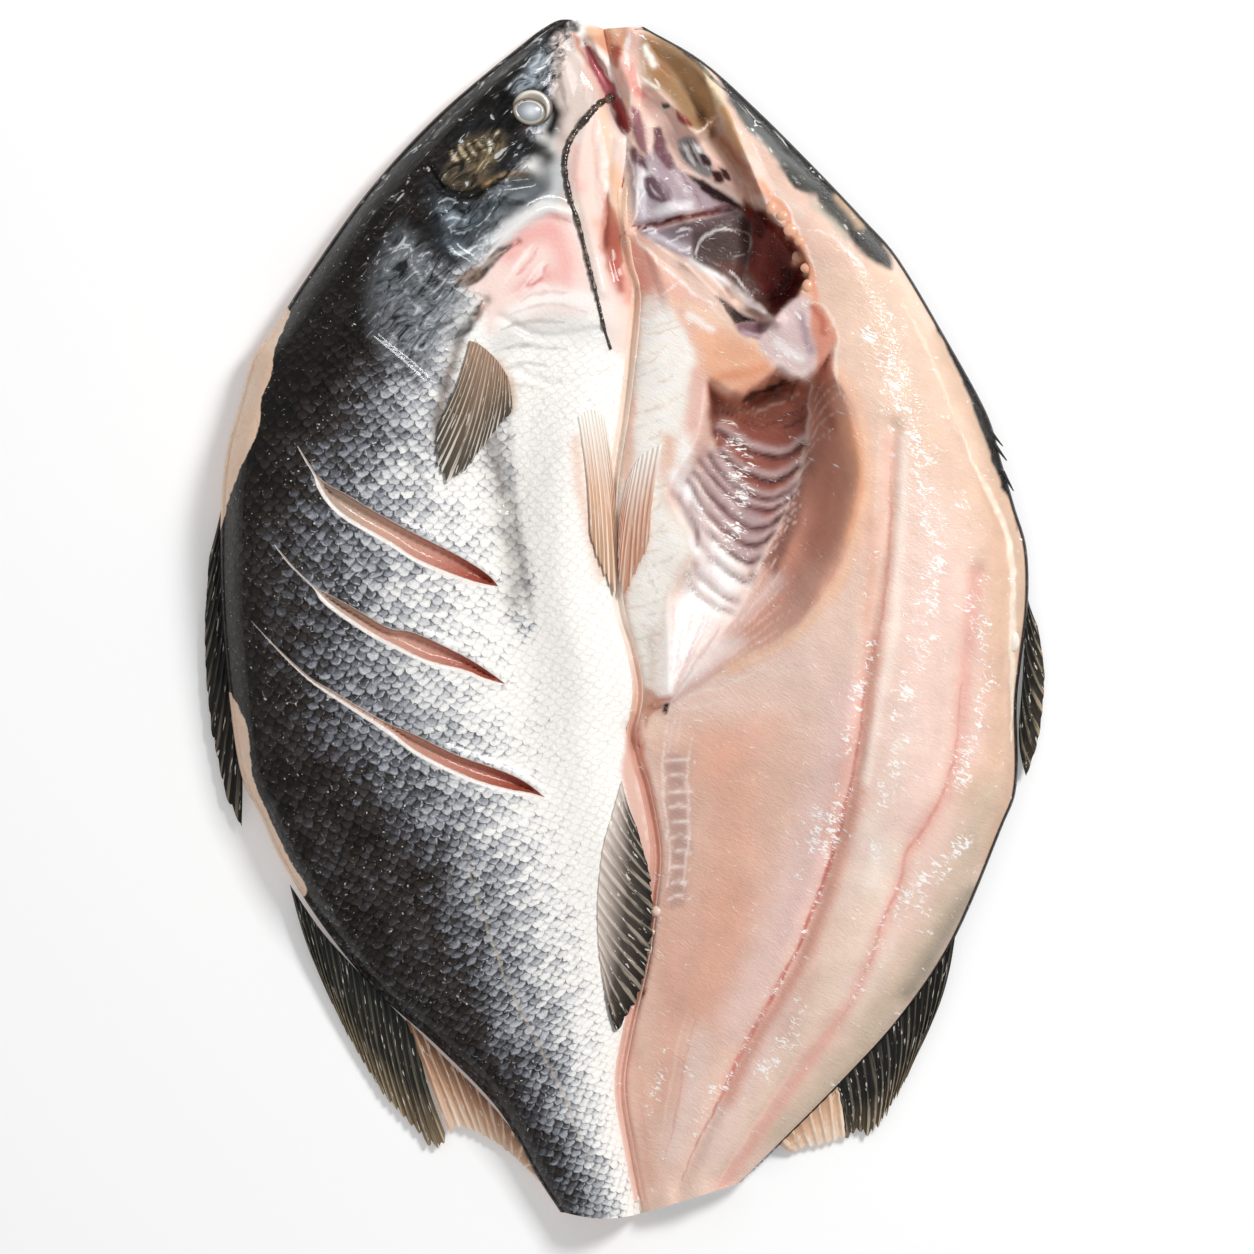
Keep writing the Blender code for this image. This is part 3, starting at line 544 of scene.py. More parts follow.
# Colours of the head and throat, which run over the hinge and so serve both halves.
# Painted glints: the short lines fff2ea in the red throat slit.
# Painted highlight: line fff6ee along the crest of the ridge beside the strand.
# Painted shade: lines d9b6ad and d2a89c lie in the folds of the white throat.
# Painted shadow: glow 6f5b4d on the skin to the left of the pectoral fin.
HEAD_PAINT = strokes("""
area dccbc2 1 1.6 -16,147.5 -13,142.5 -10,138.5 -6,134 -4,130.5 -6.5,128.5 -10,124 -13,119.5 -14.5,113.5
  -13,103.5 -16,103 -18,107 -16.5,113.5 -17.5,119.5 -18,127.5 -18,135 -18,142.5
area f4ddd2 1 2 -4,130.5 -0.5,122 4,113.5 7,104.5 5.5,94.5 4,82 4,67 -3,66.5 -6,77 -8.5,87 -11.5,98.5
  -13.5,107 -14,114.5 -11,122 -7,128
area f6dcd3 1 2.5 -35,80 -39,83 -31,92 -26,98 -19,101 -14,101 -11,95 -8,85 -7,77 -16,75 -26,73 -34,71
glow eba29c 0.7 3 -29,91 -24,95 -19,97
glow eeaaa3 0.7 3 -17,95 -15,89 -15,83
glow e9a49c 0.7 2.2 -26,81.5 -22.5,84.5 -19,85.5
line fdf1ec 0.8 0.6 -28.1,86.6 -25.1,90.1 -22.6,93.1
line fdf1ec 0.8 0.5 -25.1,82.6 -22.1,86.6 -20.1,89.1
line e39a94 0.8 0.6 -26.9,85.3 -23.8,88.9 -21.6,91.9
line e39a94 0.8 0.6 -23.6,81.6 -20.8,85.6 -18.6,88.6
glow d8706c 0.8 0.9 -23.5,83 -21.5,84.5
line fbe4de 0.8 0.7 -30.4,79.1 -24.8,81.8 -19.8,82.8 -16.1,81.8
line fbece6 0.7 0.45 -30.6,82.6 -28.1,85.6 -26.1,88.6
line fdf3ee 0.7 0.5 -19.8,89.1 -21.1,86.1 -23.6,83.1
glow fdf7f2 0.9 3 -30,72 -24,78 -16,80 -9,79
line e8968f 0.8 0.8 -31.1,93.4 -25.6,98.4 -19.6,100.4 -13.1,99.1
line d9b6ad 0.6 0.5 -26.1,79.1 -19.8,81.3 -13.1,81.1
line d2a89c 0.5 0.5 -29.1,75 -22.3,77.8 -14.8,78.1 -9,76.1
glow e9b6a6 0.7 1.6 -9,137.5 -6.5,133.5 -5,130.5
line f6e9e2 0.9 0.9 -15,140 -13,135.5 -12.5,130.5
line f3dcd2 0.8 1 -11,135 -9,130.5 -8.5,128
line 8e7f79 0.7 0.7 -17.1,143.6 -16.1,137.3 -15.3,131.8 -14.1,126.8
glow b09f98 0.6 1.2 -14.5,127 -16,122.5 -15,119.5
line cfb8ac 0.6 0.5 -11.8,138.8 -10.3,133.8 -10,129.8
area c9846a 0.9 0.8 -14.3,146.8 -12.6,143.3 -10,139.3 -8.5,137.8 -10,141.8 -12,145.8
line d9c6bb 0.9 0.7 -14.6,147.3 -12.6,143.6 -10.5,139.8
glow e8a78f 0.6 2 -6,98.5 -3.5,92 -3,83.5
glow ecae94 0.9 2.2 1.5,98 3,92 2,85.5
area a85745 0.95 0.9 -4.5,107 -3.5,104 -1.5,101 0.5,96.5 0.5,91.5 -1,87 -3,86.5 -5,89.5 -5.5,94.5 -5,101
glow 7d382c 0.8 0.8 -4.3,105.7 -4.5,99.6 -4.3,93.1
glow c98270 0.7 0.8 -1.5,98.6 -0.5,93.1 -1.3,88.6
glow f0c09c 0.9 2 -3,112 -1.5,106 -0.5,101
glow f6cfae 0.7 1.5 -5.5,127.5 -4.5,121 -4,115
line fff6ee 0.9 0.9 -6.5,125 -5.5,118.5 -4.5,111 -5,104.5
line fff4ee 0.8 0.8 -0.5,119.7 1,113.5 2,107.7 2.5,103.4
glow f3b7ab 0.6 1.6 -12.5,117 -12.5,111.5 -11,107
line efb9ac 0.6 0.5 -7.5,125.2 -7.5,117.2 -6,108.4 -5.3,100.9
line e5a090 0.7 0.6 -5,107.2 -5,100.9 -6,94.6 -5.5,89.1
glow faeae4 0.7 1.8 -6,89 -4.5,82 -3,74.5
area e0a586 1 1 -9.5,147 -5,148.5 0,147.5 1,144 -1.5,138.5 -3.5,140 -6,142.5 -8,144.5
glow f2c9a8 0.8 1.4 -8.5,146.5 -5,147.5 -1.5,147
area a64b3a 0.9 0.7 -3.3,143.8 -1,143.3 -0.5,140.8 -2,137.3 -3.5,139.8
area efc8ba 1 0.8 1,147.8 4,147.8 5.5,144.8 4,139.8 3,134.8 6.5,130.3 10,127.8 9,124.7 5.3,126.8 2,131 -1,136
  -1.5,139.3 0,143.3
glow e08f86 0.8 1.5 1,138 2,134 4.5,131
line fff3ec 0.9 0.7 1.5,146.8 0.5,141.8 1,136.8
line fbe6dc 0.8 0.5 3,137.3 4.5,132.8 7.5,129.8
area a65a60 1 0.5 -10.3,143.3 -8.5,143.3 -5.5,139.3 -3,134.8 -1,130.3 1,125.8 1.8,122.7 0.8,121.2 -0.8,122
  -2,125.2 -3.5,129.3 -5.5,132.3 -7.8,136.8 -9.3,139.8
area 96383a 0.9 0.7 -3,130.3 -0.5,128.8 1.3,123.7 0,122 -1.5,124.7
line d98a8f 0.8 0.5 -7,138.3 -4.5,133.8 -2.5,130.3
line e9cfc4 1 0.8 -10,144.8 -7,141.3 -4.3,137.3 -1.8,133.3 1,130.3 4,126.8
line 6b5650 0.8 0.4 -10.3,144.3 -8,142.1 -5.5,138.8 -3.5,135.3
line fde6db 0.9 0.5 -1,122.7 0.5,120.7 2,121.7 2.5,124.2
glow 6f5b4d 0.75 1.5 -41,69 -42.5,64 -44.5,57.5 -46,51.5 -47,44.5
glow c9a78a 0.75 1.8 -31.5,63 -29,58 -28.5,52.5
line 5d4c3d 0.8 0.4 -33.4,45.9 -31.1,48.4 -28.6,50.7
line 6a5a4b 0.7 0.35 -31.6,41.4 -29.1,44.4 -26.6,45.9
glow b9655a 0.95 1.7 -3,89 -1.5,85.5 -0.5,82
glow e7a492 0.8 1.6 2,89 1.5,83.5 1,79.5
line fff2ea 0.9 0.3 -3,92.1 -2.5,89.1
line fff2ea 0.9 0.3 -1.5,87.6 -1,85.1
""")

# Painted glints: line dfe3e5 before the eye and lines c9cdd0 below it.
# Painted glints: lines c5cbcf on the dark cheek plate.
# Painted glints: pale lines c3c8cb, b7bcc0 and dfe2e3 on the wrinkled skin of the cheek.
# Painted glints: pale streaks 7d7d7a, 8a8a86, 8e9092 and a7a9aa along the edge of the skull.
# Painted highlight: line dfe6ea on the curved fold of the cheek.
# Painted highlights: lines fbf3df and f0dfba on the golden patch.
# Painted shade: glow a1968a in the fold of the belly behind the pectoral fin.
# Painted shade: glow e3b596 on the skin beside the left pelvic fin.
# Painted shade: grey lines a79a92, a99c94, b5a9a1 and 9c8f86 in the folds below the throat.
# Painted shade: lines 0f0d0c in the fold below the eye; painted highlight: glow 957a5a above it.
# Painted shade: lines 1a110c and 1c1512 in the gill slits.
SKIN_PAINT = strokes("""
area e2b8a8 0.95 0.9 1,-28 4,-36 7,-46 10,-58.5 10,-72.5 8.5,-85 6,-96 2.5,-103.5 1,-101 2.5,-92.5 4,-82.5
  4.5,-71 3.5,-59.5 1.5,-49.5 -0.5,-38.5
glow c46a5b 0.7 0.7 5.5,-83.6 4,-92.4 2,-99.1
line f3ded4 0.8 0.4 1.5,-33.4 4.5,-45.9 6.5,-58.5
area 5c6166 0.85 4 -20,144 -17,140 -18,130 -17,122 -19,117 -16,111 -17,105 -25,101 -32,96 -39,92 -39,98
  -31,106 -24,110 -20,115 -19,120 -20,126 -24,134 -22,140
glow c6cacc 0.8 2.2 -15.5,113.5 -16.5,108.5 -18.5,104
glow 9aa3ab 0.8 2.2 -21,139.5 -23,135 -25.5,132.5
glow a8aeb2 0.6 2 -38.5,89 -36,92 -33,95.5
area 17181a 0.95 1.5 -46,111.5 -43,117 -43,122 -36,125 -29,129 -28,124.5 -26,120.5 -21,119 -19,117 -23.5,114.5
  -29.5,110 -33.5,107 -38.5,105 -43.5,106.5
area 4b4133 1 1.4 -46,110 -43.5,114.5 -40.5,119 -36,121 -31,122 -29,120 -30,116 -33,111.5 -36.5,107.5
  -40.5,106.5 -44.5,108
line c9b694 0.85 0.55 -43.4,116.7 -42.4,114.7 -41.2,113
line d8c6a2 0.85 0.5 -41.4,118 -40.2,115.7 -38.7,113.7
line dccaa6 0.8 0.5 -39.2,118.7 -37.9,116.5 -36.4,114.7
line bfa983 0.8 0.5 -37.1,119.7 -35.6,117.5 -34.4,116.2
line 4a3a29 0.8 0.45 -42.4,117.2 -41.2,114.7 -39.9,112.7
line 4a3a29 0.8 0.45 -40.2,118.5 -38.9,115.7 -37.4,114
line 3f3123 0.8 0.5 -37.9,119.2 -36.6,116.7 -35.1,115.2
line fbf3df 1 0.75 -33.9,119 -33.1,117 -33.4,115.5
line f0dfba 0.9 0.45 -32.6,120.2 -31.4,121
glow 9a845f 0.5 1.2 -36.5,112 -34,114.5 -31.5,117.5
line 0f0d0c 1 1 -49,112.5 -46.5,108.5 -43,105.5 -38.5,105 -34.5,107 -31,108.5 -27,109 -23.5,110
glow 957a5a 0.9 1 -35,108 -31.5,109.5 -27.5,110.5 -24.5,110.5
line 0f0d0c 0.9 0.45 -35.1,106.7 -31.1,107.9 -26.1,108.4 -23.1,109.2
area 2d3236 0.95 3 -49,109 -44,105 -38,103 -31,106 -24,108 -21,107 -26,103 -32,99 -37,94 -41,88 -45,89 -48,96
  -49,103
glow 79848d 0.7 2 -44.5,101 -40.5,98.5 -36,101
glow 6f7a84 0.6 1.8 -44,93.5 -40.5,92
line dfe6ea 0.9 0.5 -43.9,92.6 -42.2,91.1 -39.2,91.1 -36.6,92.9
area 3d4347 0.85 2.4 -31,108 -26,111 -21,110 -19,107 -22,104 -27,102 -31,98 -34,96 -37,98 -35,103
glow 8b9398 0.6 1 -31.5,104.5 -28,104.5 -25,105.5
glow 8b9398 0.5 1 -33.5,99.5 -30,101.5
glow 767c80 0.6 1.6 -30.5,107.5 -26,105.5 -22,107
line 17181a 0.9 0.8 -32.4,105.4 -27.4,103.4 -23.1,103.2
line c5cbcf 0.8 0.3 -46.2,103.4 -43.2,104.4 -40.7,102.9
line c5cbcf 0.8 0.3 -44.4,99.1 -41.9,99.6 -39.2,98.6
line c5cbcf 0.7 0.3 -43.2,96.6 -40.4,96.1 -37.6,97.1
glow 0e0d0c 1 1.6 -18,128 -17,125 -18.5,121.5
glow 0e0d0c 0.8 1.4 -29,130 -29.5,126 -28,122
glow 1a1a1b 0.9 2.4 -27,118 -23,117 -19,115
line dfe3e5 0.9 0.5 -17.8,141.1 -19.1,138.8 -20.6,137.3 -22.6,135.8
line c9cdd0 0.8 0.3 -26.4,117.2 -25.1,118.2
line c9cdd0 0.8 0.3 -17.1,122.7 -15.8,121.5
line 2b2926 0.8 1 -23.5,142 -28,138 -32.5,133.5 -38.5,128 -44.5,122 -50,116
line 7d7d7a 0.7 0.4 -21.1,143.8 -25.1,140.8 -29.6,136.8 -33.6,133.3
line 8a8a86 0.7 0.35 -37.6,129.8 -42.2,125.8 -46.7,121.2 -50.2,117.7
line 0b0a09 0.9 1.3 -18,146.5 -22,142 -26.5,137.5 -32,132 -37.5,127 -43,121 -48.5,115.5
line 8e9092 0.7 0.35 -31.1,130.8 -32.6,129.5
line a7a9aa 0.8 0.35 -28.1,133.3 -29.6,131.8
line a7a9aa 0.8 0.35 -25.4,135.8 -26.6,134.5
area 3f332b 0.9 0.8 -17.1,150.3 -14.1,150.1 -11,148.1 -12,146.3 -14.6,147.3 -16.6,147.8
line f3ece6 1 1.5 -34.6,87.6 -31.6,92.6 -26.1,98.4 -19.6,102.4 -14.1,101.9
glow e3e4e4 0.8 1.6 -32,93 -26.5,98.5 -19.5,102.5
line 1a110c 1 1.15 -40.5,82.5 -37,84.5 -34,87.5 -30.5,91.5 -26.5,93.5
glow 8a6a50 0.7 1.6 -40.5,84 -37,86
line c3b4a6 0.9 0.3 -36.6,85.3 -33.1,89.1 -29.1,92.4
area 73787d 0.75 4 -55,97 -50,92 -44,85 -39,80 -41,72 -45,67 -51,59 -58,65 -63,75 -61,87
line c3c8cb 0.7 0.4 -53.7,89.1 -49.9,83.3 -44.9,79.6
line b7bcc0 0.7 0.4 -56.7,84.6 -52.5,78.3 -47.2,74
line c3c8cb 0.6 0.35 -49.2,89.1 -46.2,85.1 -41.7,82.1
line 2e3033 0.7 0.5 -55.7,87.1 -51.2,80.6 -45.2,76.6
line 2e3033 0.6 0.5 -48.7,72 -44.7,73 -40.7,75
line dfe2e3 0.6 0.35 -59.7,72 -55,68.3 -49.9,66.5
line 1c1512 1 1.1 -35,79 -37,76 -39,72.5 -42.5,69.5
line d4a893 0.9 0.5 -34.4,78.8 -36.1,75.8 -37.9,73
glow dcd9d6 0.7 4 -31,68 -26,71 -16,73 -6,71
line a79a92 0.6 0.5 -32.4,66.5 -26.1,68 -18.6,67.5 -12.3,66.5
line a99c94 0.5 0.5 -31.1,61.5 -24.8,63.5 -17.1,62.5
line b5a9a1 0.5 0.5 -31.1,56.5 -26.1,58 -19.1,57
line 9c8f86 0.5 0.6 -31.1,71.5 -23.6,74 -14.8,74
line c9b79c 0.65 0.3 -40.4,-51.5 -37.4,-68 -33.1,-80.1 -28.6,-92.6 -21.6,-106.7 -14.3,-121.2 -11.8,-128.5
  -8.8,-135.3 -5.5,-143.3
line 9d9892 0.5 0.25 -41.7,-58.5 -43.7,-67.3 -43.7,-76.6
line 2a2a2c 0.6 0.6 -63.3,71.5 -58.2,66.5 -53.2,60 -49.2,53.5
line 2a2a2c 0.5 0.6 -61.2,49.4 -55.7,44.4 -51.2,36.9 -48.2,29.4
line a3a6aa 0.5 0.6 -61.2,72.5 -56.2,67 -51.2,61
glow a1968a 0.55 3.2 -33,44 -31,34 -29,23 -27,13 -27,4
glow e3b596 0.55 1.7 -12,44.5 -11,32 -8,19.5 -5.5,10.5
area 7e4e44 0.9 0.6 1.5,-27.4 3,-27.9 3.3,-31.9 2.3,-32.9 1.3,-30.9
""")


# Where the flank turns dark, where it turns pale, and a soft shadow behind the pectoral fin.
DARK_FROM = [
    (-17.1, 144.8), (-19.8, 129.8), (-26.1, 117.2), (-33.6, 104.7), (-38.7, 92.1), (-48.7, 79.6),
    (-56.2, 67), (-62.5, 54.5), (-68.3, 41.9), (-72.3, 29.4), (-74.3, 14.3), (-73.8, -0.8), (-70.8, -20.8),
    (-63.8, -35.9), (-51.7, -51), (-42.2, -66), (-37.6, -83.6), (-30.6, -101.2), (-22.1, -121.2),
    (-16.1, -133.8), (-9.8, -150.1),
]
PALE_FROM = [
    (-11, 144.8), (-16.1, 129.8), (-21.1, 117.2), (-26.1, 104.7), (-31.1, 87.1), (-38.7, 67), (-36.1, 49.4),
    (-36.1, 29.4), (-31.1, 14.3), (-33.6, -0.8), (-27.4, -20.8), (-21.1, -35.9), (-15.6, -58.5),
    (-9.5, -83.6), (-4.5, -108.7), (-1, -133.8), (2.5, -150.1),
]
FIN_SHADOW = [(-31.9, 48.2), (-30.6, 36.9), (-28.1, 24.3), (-25.9, 11.8), (-25.1, -2)]


def skin_pigment(x, y):
    """How dark the skin is: 0 on the cream belly, 1 where the flank turns dark, 1.7 on the back."""
    at_dark, at_pale = guide_x(DARK_FROM, y), guide_x(PALE_FROM, y)
    shadow = 0.62 * bell(x, y, FIN_SHADOW, 4.0)
    found = (at_pale - x) / np.maximum(at_pale - at_dark, 4.0) + shadow
    return np.clip(found, -0.3, 1.75 - 0.4 * ramp(-10, -70, y))


# Settings that many nodes share.
SMOOTH = {"interpolation_type": "SMOOTHSTEP"}
RGBA = {"data_type": "RGBA"}
FLAT = {"noise_dimensions": "2D"}
PLUS, MINUS = {"operation": "ADD"}, {"operation": "SUBTRACT"}
TIMES, TIMES_PLUS = {"operation": "MULTIPLY"}, {"operation": "MULTIPLY_ADD"}


def add_node(tree, kind, settings=None, **inputs):
    """Adds a node with its settings. An input named i0, i1 goes by place, any other by its name.
    A number or colour is set on it, and a socket, or a node's first live output, is linked."""
    node = tree.nodes.new("ShaderNode" + kind)
    for name, value in (settings or {}).items():
        setattr(node, name, value)
    for name, value in inputs.items():
        if name[0] == "i" and name[1:].isdigit():
            socket = node.inputs[int(name[1:])]
        else:
            socket = next(s for s in node.inputs if s.enabled and s.name == name.replace("_", " "))
        if isinstance(value, bpy.types.Node):
            value = next(output for output in value.outputs if output.enabled)
        if isinstance(value, bpy.types.NodeSocket):
            tree.links.new(value, socket)
        else:
            socket.default_value = value
    return node


def new_material(name):
    """A material with an empty node tree, and the function that adds a node to it."""
    material = bpy.data.materials.new(name)
    material.use_nodes = True
    material.node_tree.nodes.clear()
    return material, functools.partial(add_node, material.node_tree)


def colours(node, stops):
    """Sets the stops of a colour ramp from (place, hex)."""
    ramp_stops = node.color_ramp.elements
    while len(ramp_stops) < len(stops):
        ramp_stops.new(0.5)
    for stop, (place, code) in zip(ramp_stops, stops):
        stop.position = place
        stop.color = linear(code)
    return node


# Colours of a scale's face and of its seams by the depth of pigment, and of a cut along it.
# The seam colours also paint the shadow behind each scale's rear edge.
FACE_STOPS = [
    (0, "#fdfaf5"), (0.1, "#f1f0ee"), (0.24, "#c1c2c6"), (0.38, "#93969d"), (0.5, "#5f6067"),
    (0.6, "#3f3c3c"), (0.74, "#312a26"), (0.86, "#201a16"), (1, "#110c0a"),
]
SEAM_AND_SHADOW_STOPS = [
    (0, "#f1ede7"), (0.1, "#c4c1be"), (0.24, "#505055"), (0.38, "#28282b"), (0.5, "#151315"),
    (0.6, "#0e0c0c"), (0.74, "#080605"), (1, "#050403"),
]
CUT_STOPS = [
    (0, "#ab9a8b"), (0.3, "#c2aa99"), (0.5, "#d3a997"), (0.72, "#c98f7e"), (0.88, "#ad5c4b"),
    (1, "#8f3a2c"),
]
# How strongly the painted glints show on the scales, by the depth of pigment.
GLINT_STRENGTH_STOPS = [(0, "#000000"), (0.16, "#bbbbbb"), (0.5, "#f0f0f0"), (0.66, "#a8a8a8"), (1, "#9a9a9a")]


def scaled_skin():
    """Wet bass skin. Its scales overlap like roof tiles: in row n, a scale ends at the rear in a
    half ellipse, so a point lies on it where hypot(f, 2 d) is under 1, f being the way down the
    row and d the way from the scale's middle, and on a scale of the next row elsewhere. The eye
    sees slate faces, a dark seam under each rear edge with painted shadow behind it, and thin
    broken strokes of painted glint just inside the rims."""
    material, node = new_material("wet scaled bass skin")
    net = node("UVMap", {"uv_map": "scales"})
    place = node("TexCoord").outputs["Object"]
    sway = node("TexNoise", Vector=place, Scale=330, Detail=3, Roughness=0.6)
    shift = node("VectorMath", TIMES_PLUS, i0=sway.outputs["Color"], i1=(0.8, 1.6, 0), i2=(-0.4, -0.8, 0))
    moved = node("SeparateXYZ", Vector=node("VectorMath", PLUS, i0=net, i1=shift))
    across, along = moved.outputs["X"], moved.outputs["Y"]
    row = node("Math", {"operation": "FLOOR"}, i0=along)
    down = node("Math", MINUS, i0=along, i1=row)
    start = node("Math", TIMES_PLUS, i0=row, i1=-0.5, i2=across)
    column = node("Math", {"operation": "ROUND"}, i0=start)
    aside = node("Math", MINUS, i0=start, i1=column)
    twice = node("Math", TIMES, i0=aside, i1=2.0)
    reach = node(
        "VectorMath", {"operation": "LENGTH"}, i0=node("CombineXYZ", X=down, Y=twice),
    ).outputs["Value"]
    below = node("Math", {"operation": "GREATER_THAN"}, i0=reach, i1=1.0)
    next_start = node("Math", MINUS, i0=start, i1=0.5)
    next_column = node("Math", {"operation": "ROUND"}, i0=next_start)
    upper_id = node("CombineXYZ", X=column, Y=row)
    lower_id = node("CombineXYZ", X=next_column, Y=node("Math", PLUS, i0=row, i1=1.0))
    scale_id = node("Mix", {"data_type": "VECTOR"}, Factor=below, A=upper_id, B=lower_id)
    luck = node("SeparateColor", Color=node("TexWhiteNoise", FLAT, Vector=scale_id).outputs["Color"])
    rise = node("Math", MINUS, i0=down, i1=below)
    from_rim = node("Math", MINUS, i0=reach, i1=1.0)
    cloud = node("TexNoise", Vector=place, Scale=75, Detail=6, Roughness=0.7)
    fleck = node("TexNoise", Vector=place, Scale=1100, Detail=3, Roughness=0.65)
    pigment = node("Attribute", {"attribute_name": "pigment"}).outputs["Fac"]
    scaly = node("Attribute", {"attribute_name": "scaly"}).outputs["Fac"]
    # Pigment is clouded and varies from scale to scale; each scale is also painted lighter towards its rear
    # edge and darker where it comes out from under the one in front, as light and shade.
    depth = pigment
    for source, spread_by in ((cloud, 0.8), (luck.outputs["Red"], 0.42), (fleck, 0.5), (rise, -0.3)):
        middle = 0.0 if source is rise else -0.5 * spread_by
        part = node("Math", TIMES_PLUS, i0=source, i1=spread_by, i2=middle)
        depth = node("Math", PLUS, i0=depth, i1=part)
    depth = node("Math", {"operation": "DIVIDE"}, i0=depth, i1=1.8)
    face = colours(node("ValToRGB", Fac=depth), FACE_STOPS)
    dark = colours(node("ValToRGB", Fac=depth), SEAM_AND_SHADOW_STOPS)
    # Seams break up here and there, and are painted darker on the side of a scale away from the
    # light, as shade.
    which = node(
        "Mix", {"data_type": "FLOAT"}, Factor=below, A=aside,
        B=node("Math", MINUS, i0=next_start, i1=next_column),
    )
    heavy = node("MapRange", Value=which, From_Min=-0.4, From_Max=0.4, To_Min=1.0, To_Max=0.5)
    broken = node("MapRange", SMOOTH, Value=sway, From_Min=0.36, From_Max=0.56, To_Min=0.35, To_Max=1)
    edge = node("Math", {"operation": "ABSOLUTE"}, i0=from_rim)
    line = node("MapRange", SMOOTH, Value=edge, From_Min=0.31, From_Max=0.05, To_Min=0, To_Max=0.97)
    # Painted shadow on the scale beneath, just behind the rear edge of the one above.
    shade = node("MapRange", SMOOTH, Value=from_rim, From_Min=0.45, From_Max=0.0, To_Min=0, To_Max=0.8)
    shade = node("Math", TIMES, i0=shade, i1=below)
    line = node("Math", {"operation": "MAXIMUM"}, i0=line, i1=shade)
    for other in (heavy, broken, scaly):
        line = node("Math", TIMES, i0=line, i1=other)
    base = node("Mix", RGBA, Factor=line, A=face, B=dark)
    # Painted glints: broken pale strokes just inside the rear edges of the flank's scales, and specks
    # on the back.
    inner = node(
        "MapRange", SMOOTH,
        Value=node("Math", {"operation": "ABSOLUTE"}, i0=node("Math", PLUS, i0=from_rim, i1=0.26)),
        From_Min=0.14, From_Max=0.02,
    )
    torn = node("TexNoise", Vector=place, Scale=640, Detail=4, Roughness=0.7, Distortion=0.8)
    torn_less = node("Math", TIMES_PLUS, i0=pigment, i1=-0.1, i2=torn)
    stroke = node("MapRange", SMOOTH, Value=torn_less, From_Min=0.42, From_Max=0.5, To_Max=0.95)
    glint_strength = node("ValToRGB", Fac=node("MapRange", Value=pigment, From_Max=1.7))
    glint_strength = colours(glint_strength, GLINT_STRENGTH_STOPS)
    for other in (inner, glint_strength, scaly):
        stroke = node("Math", TIMES, i0=stroke, i1=other)
    base = node("Mix", RGBA, Factor=stroke, A=base, B=linear("#d3d6da"))
    speck = node("TexNoise", Vector=place, Scale=900, Detail=1)
    speck = node("MapRange", SMOOTH, Value=speck, From_Min=0.735, From_Max=0.78, To_Max=0.75)
    speck = node("Math", TIMES, i0=speck, i1=scaly)
    base = node("Mix", RGBA, Factor=speck, A=base, B=linear("#dcdcda"))
    tint = node("Attribute", {"attribute_name": "tint"})
    bare = node("Mix", RGBA, Factor=tint.outputs["Alpha"], A=base, B=(0, 0, 0, 1))
    base = node(
        "Mix", {"data_type": "RGBA", "blend_type": "ADD"}, Factor=1, A=bare, B=tint.outputs["Color"],
    )
    # The head has no scales: its black skin is creased and wet, with painted light and shade along
    # the creases and small painted glints.
    bare_dark = node("MapRange", Value=pigment, From_Min=0.15, From_Max=0.7)
    bare_dark = node(
        "Math", TIMES, i0=bare_dark, i1=node("Attribute", {"attribute_name": "bald"}).outputs["Fac"],
    )
    drawn_out = node(
        "Mapping", {"vector_type": "TEXTURE"}, Vector=place, Rotation=(0, 0, math.radians(43)),
        Scale=(2.6, 1, 1),
    )
    crease = node("TexNoise", Vector=drawn_out, Scale=420, Detail=6, Roughness=0.66, Distortion=1.2)
    crease_light = node("MapRange", Value=crease, From_Min=0.38, From_Max=0.62, To_Min=0.1, To_Max=2.0)
    crease_light = node("Mix", {"data_type": "FLOAT"}, Factor=bare_dark, A=1.0, B=crease_light)
    base = node("VectorMath", {"operation": "SCALE"}, i0=base, Scale=crease_light)
    shine = node("MapRange", SMOOTH, Value=crease, From_Min=0.6, From_Max=0.645, To_Max=0.9)
    shine = node("Math", TIMES, i0=shine, i1=bare_dark)
    base = node("Mix", RGBA, Factor=shine, A=base, B=linear("#c9cccf"))
    # Score cuts: pale flesh at the back end, redder towards the belly, with a white lower lip.
    slash = node("SeparateColor", Color=node("Attribute", {"attribute_name": "slash"}).outputs["Color"])
    side, half, share = (slash.outputs[name] for name in ("Red", "Green", "Blue"))
    ragged = node("Math", TIMES_PLUS, i0=torn, i1=0.4, i2=-0.22)
    within = node("Math", MINUS, i0=half, i1=node("Math", {"operation": "ABSOLUTE"}, i0=side))
    within = node("Math", PLUS, i0=within, i1=ragged)
    open_here = node("MapRange", SMOOTH, Value=half, From_Min=0.1, From_Max=0.7, To_Min=0.12, To_Max=1.05)
    lip_reach = node("MapRange", SMOOTH, Value=side, From_Min=0.3, From_Max=-0.3, To_Min=0.15, To_Max=1)
    lip_reach = node("Math", TIMES, i0=lip_reach, i1=open_here)
    lip = node("Math", PLUS, i0=within, i1=lip_reach)
    lip = node("MapRange", SMOOTH, Value=lip, From_Min=0.0, From_Max=0.25, To_Max=0.95)
    base = node("Mix", RGBA, Factor=lip, A=base, B=linear("#f3ebe5"))
    deep = colours(node("ValToRGB", Fac=share), CUT_STOPS)
    upper = node("MapRange", SMOOTH, Value=within, From_Min=0.9, From_Max=0.1, To_Max=0.55)
    upper = node("Math", TIMES, i0=upper, i1=node("Math", {"operation": "GREATER_THAN"}, i0=side, i1=0.0))
    deep = node("Mix", RGBA, Factor=upper, A=deep, B=linear("#7a4636"))
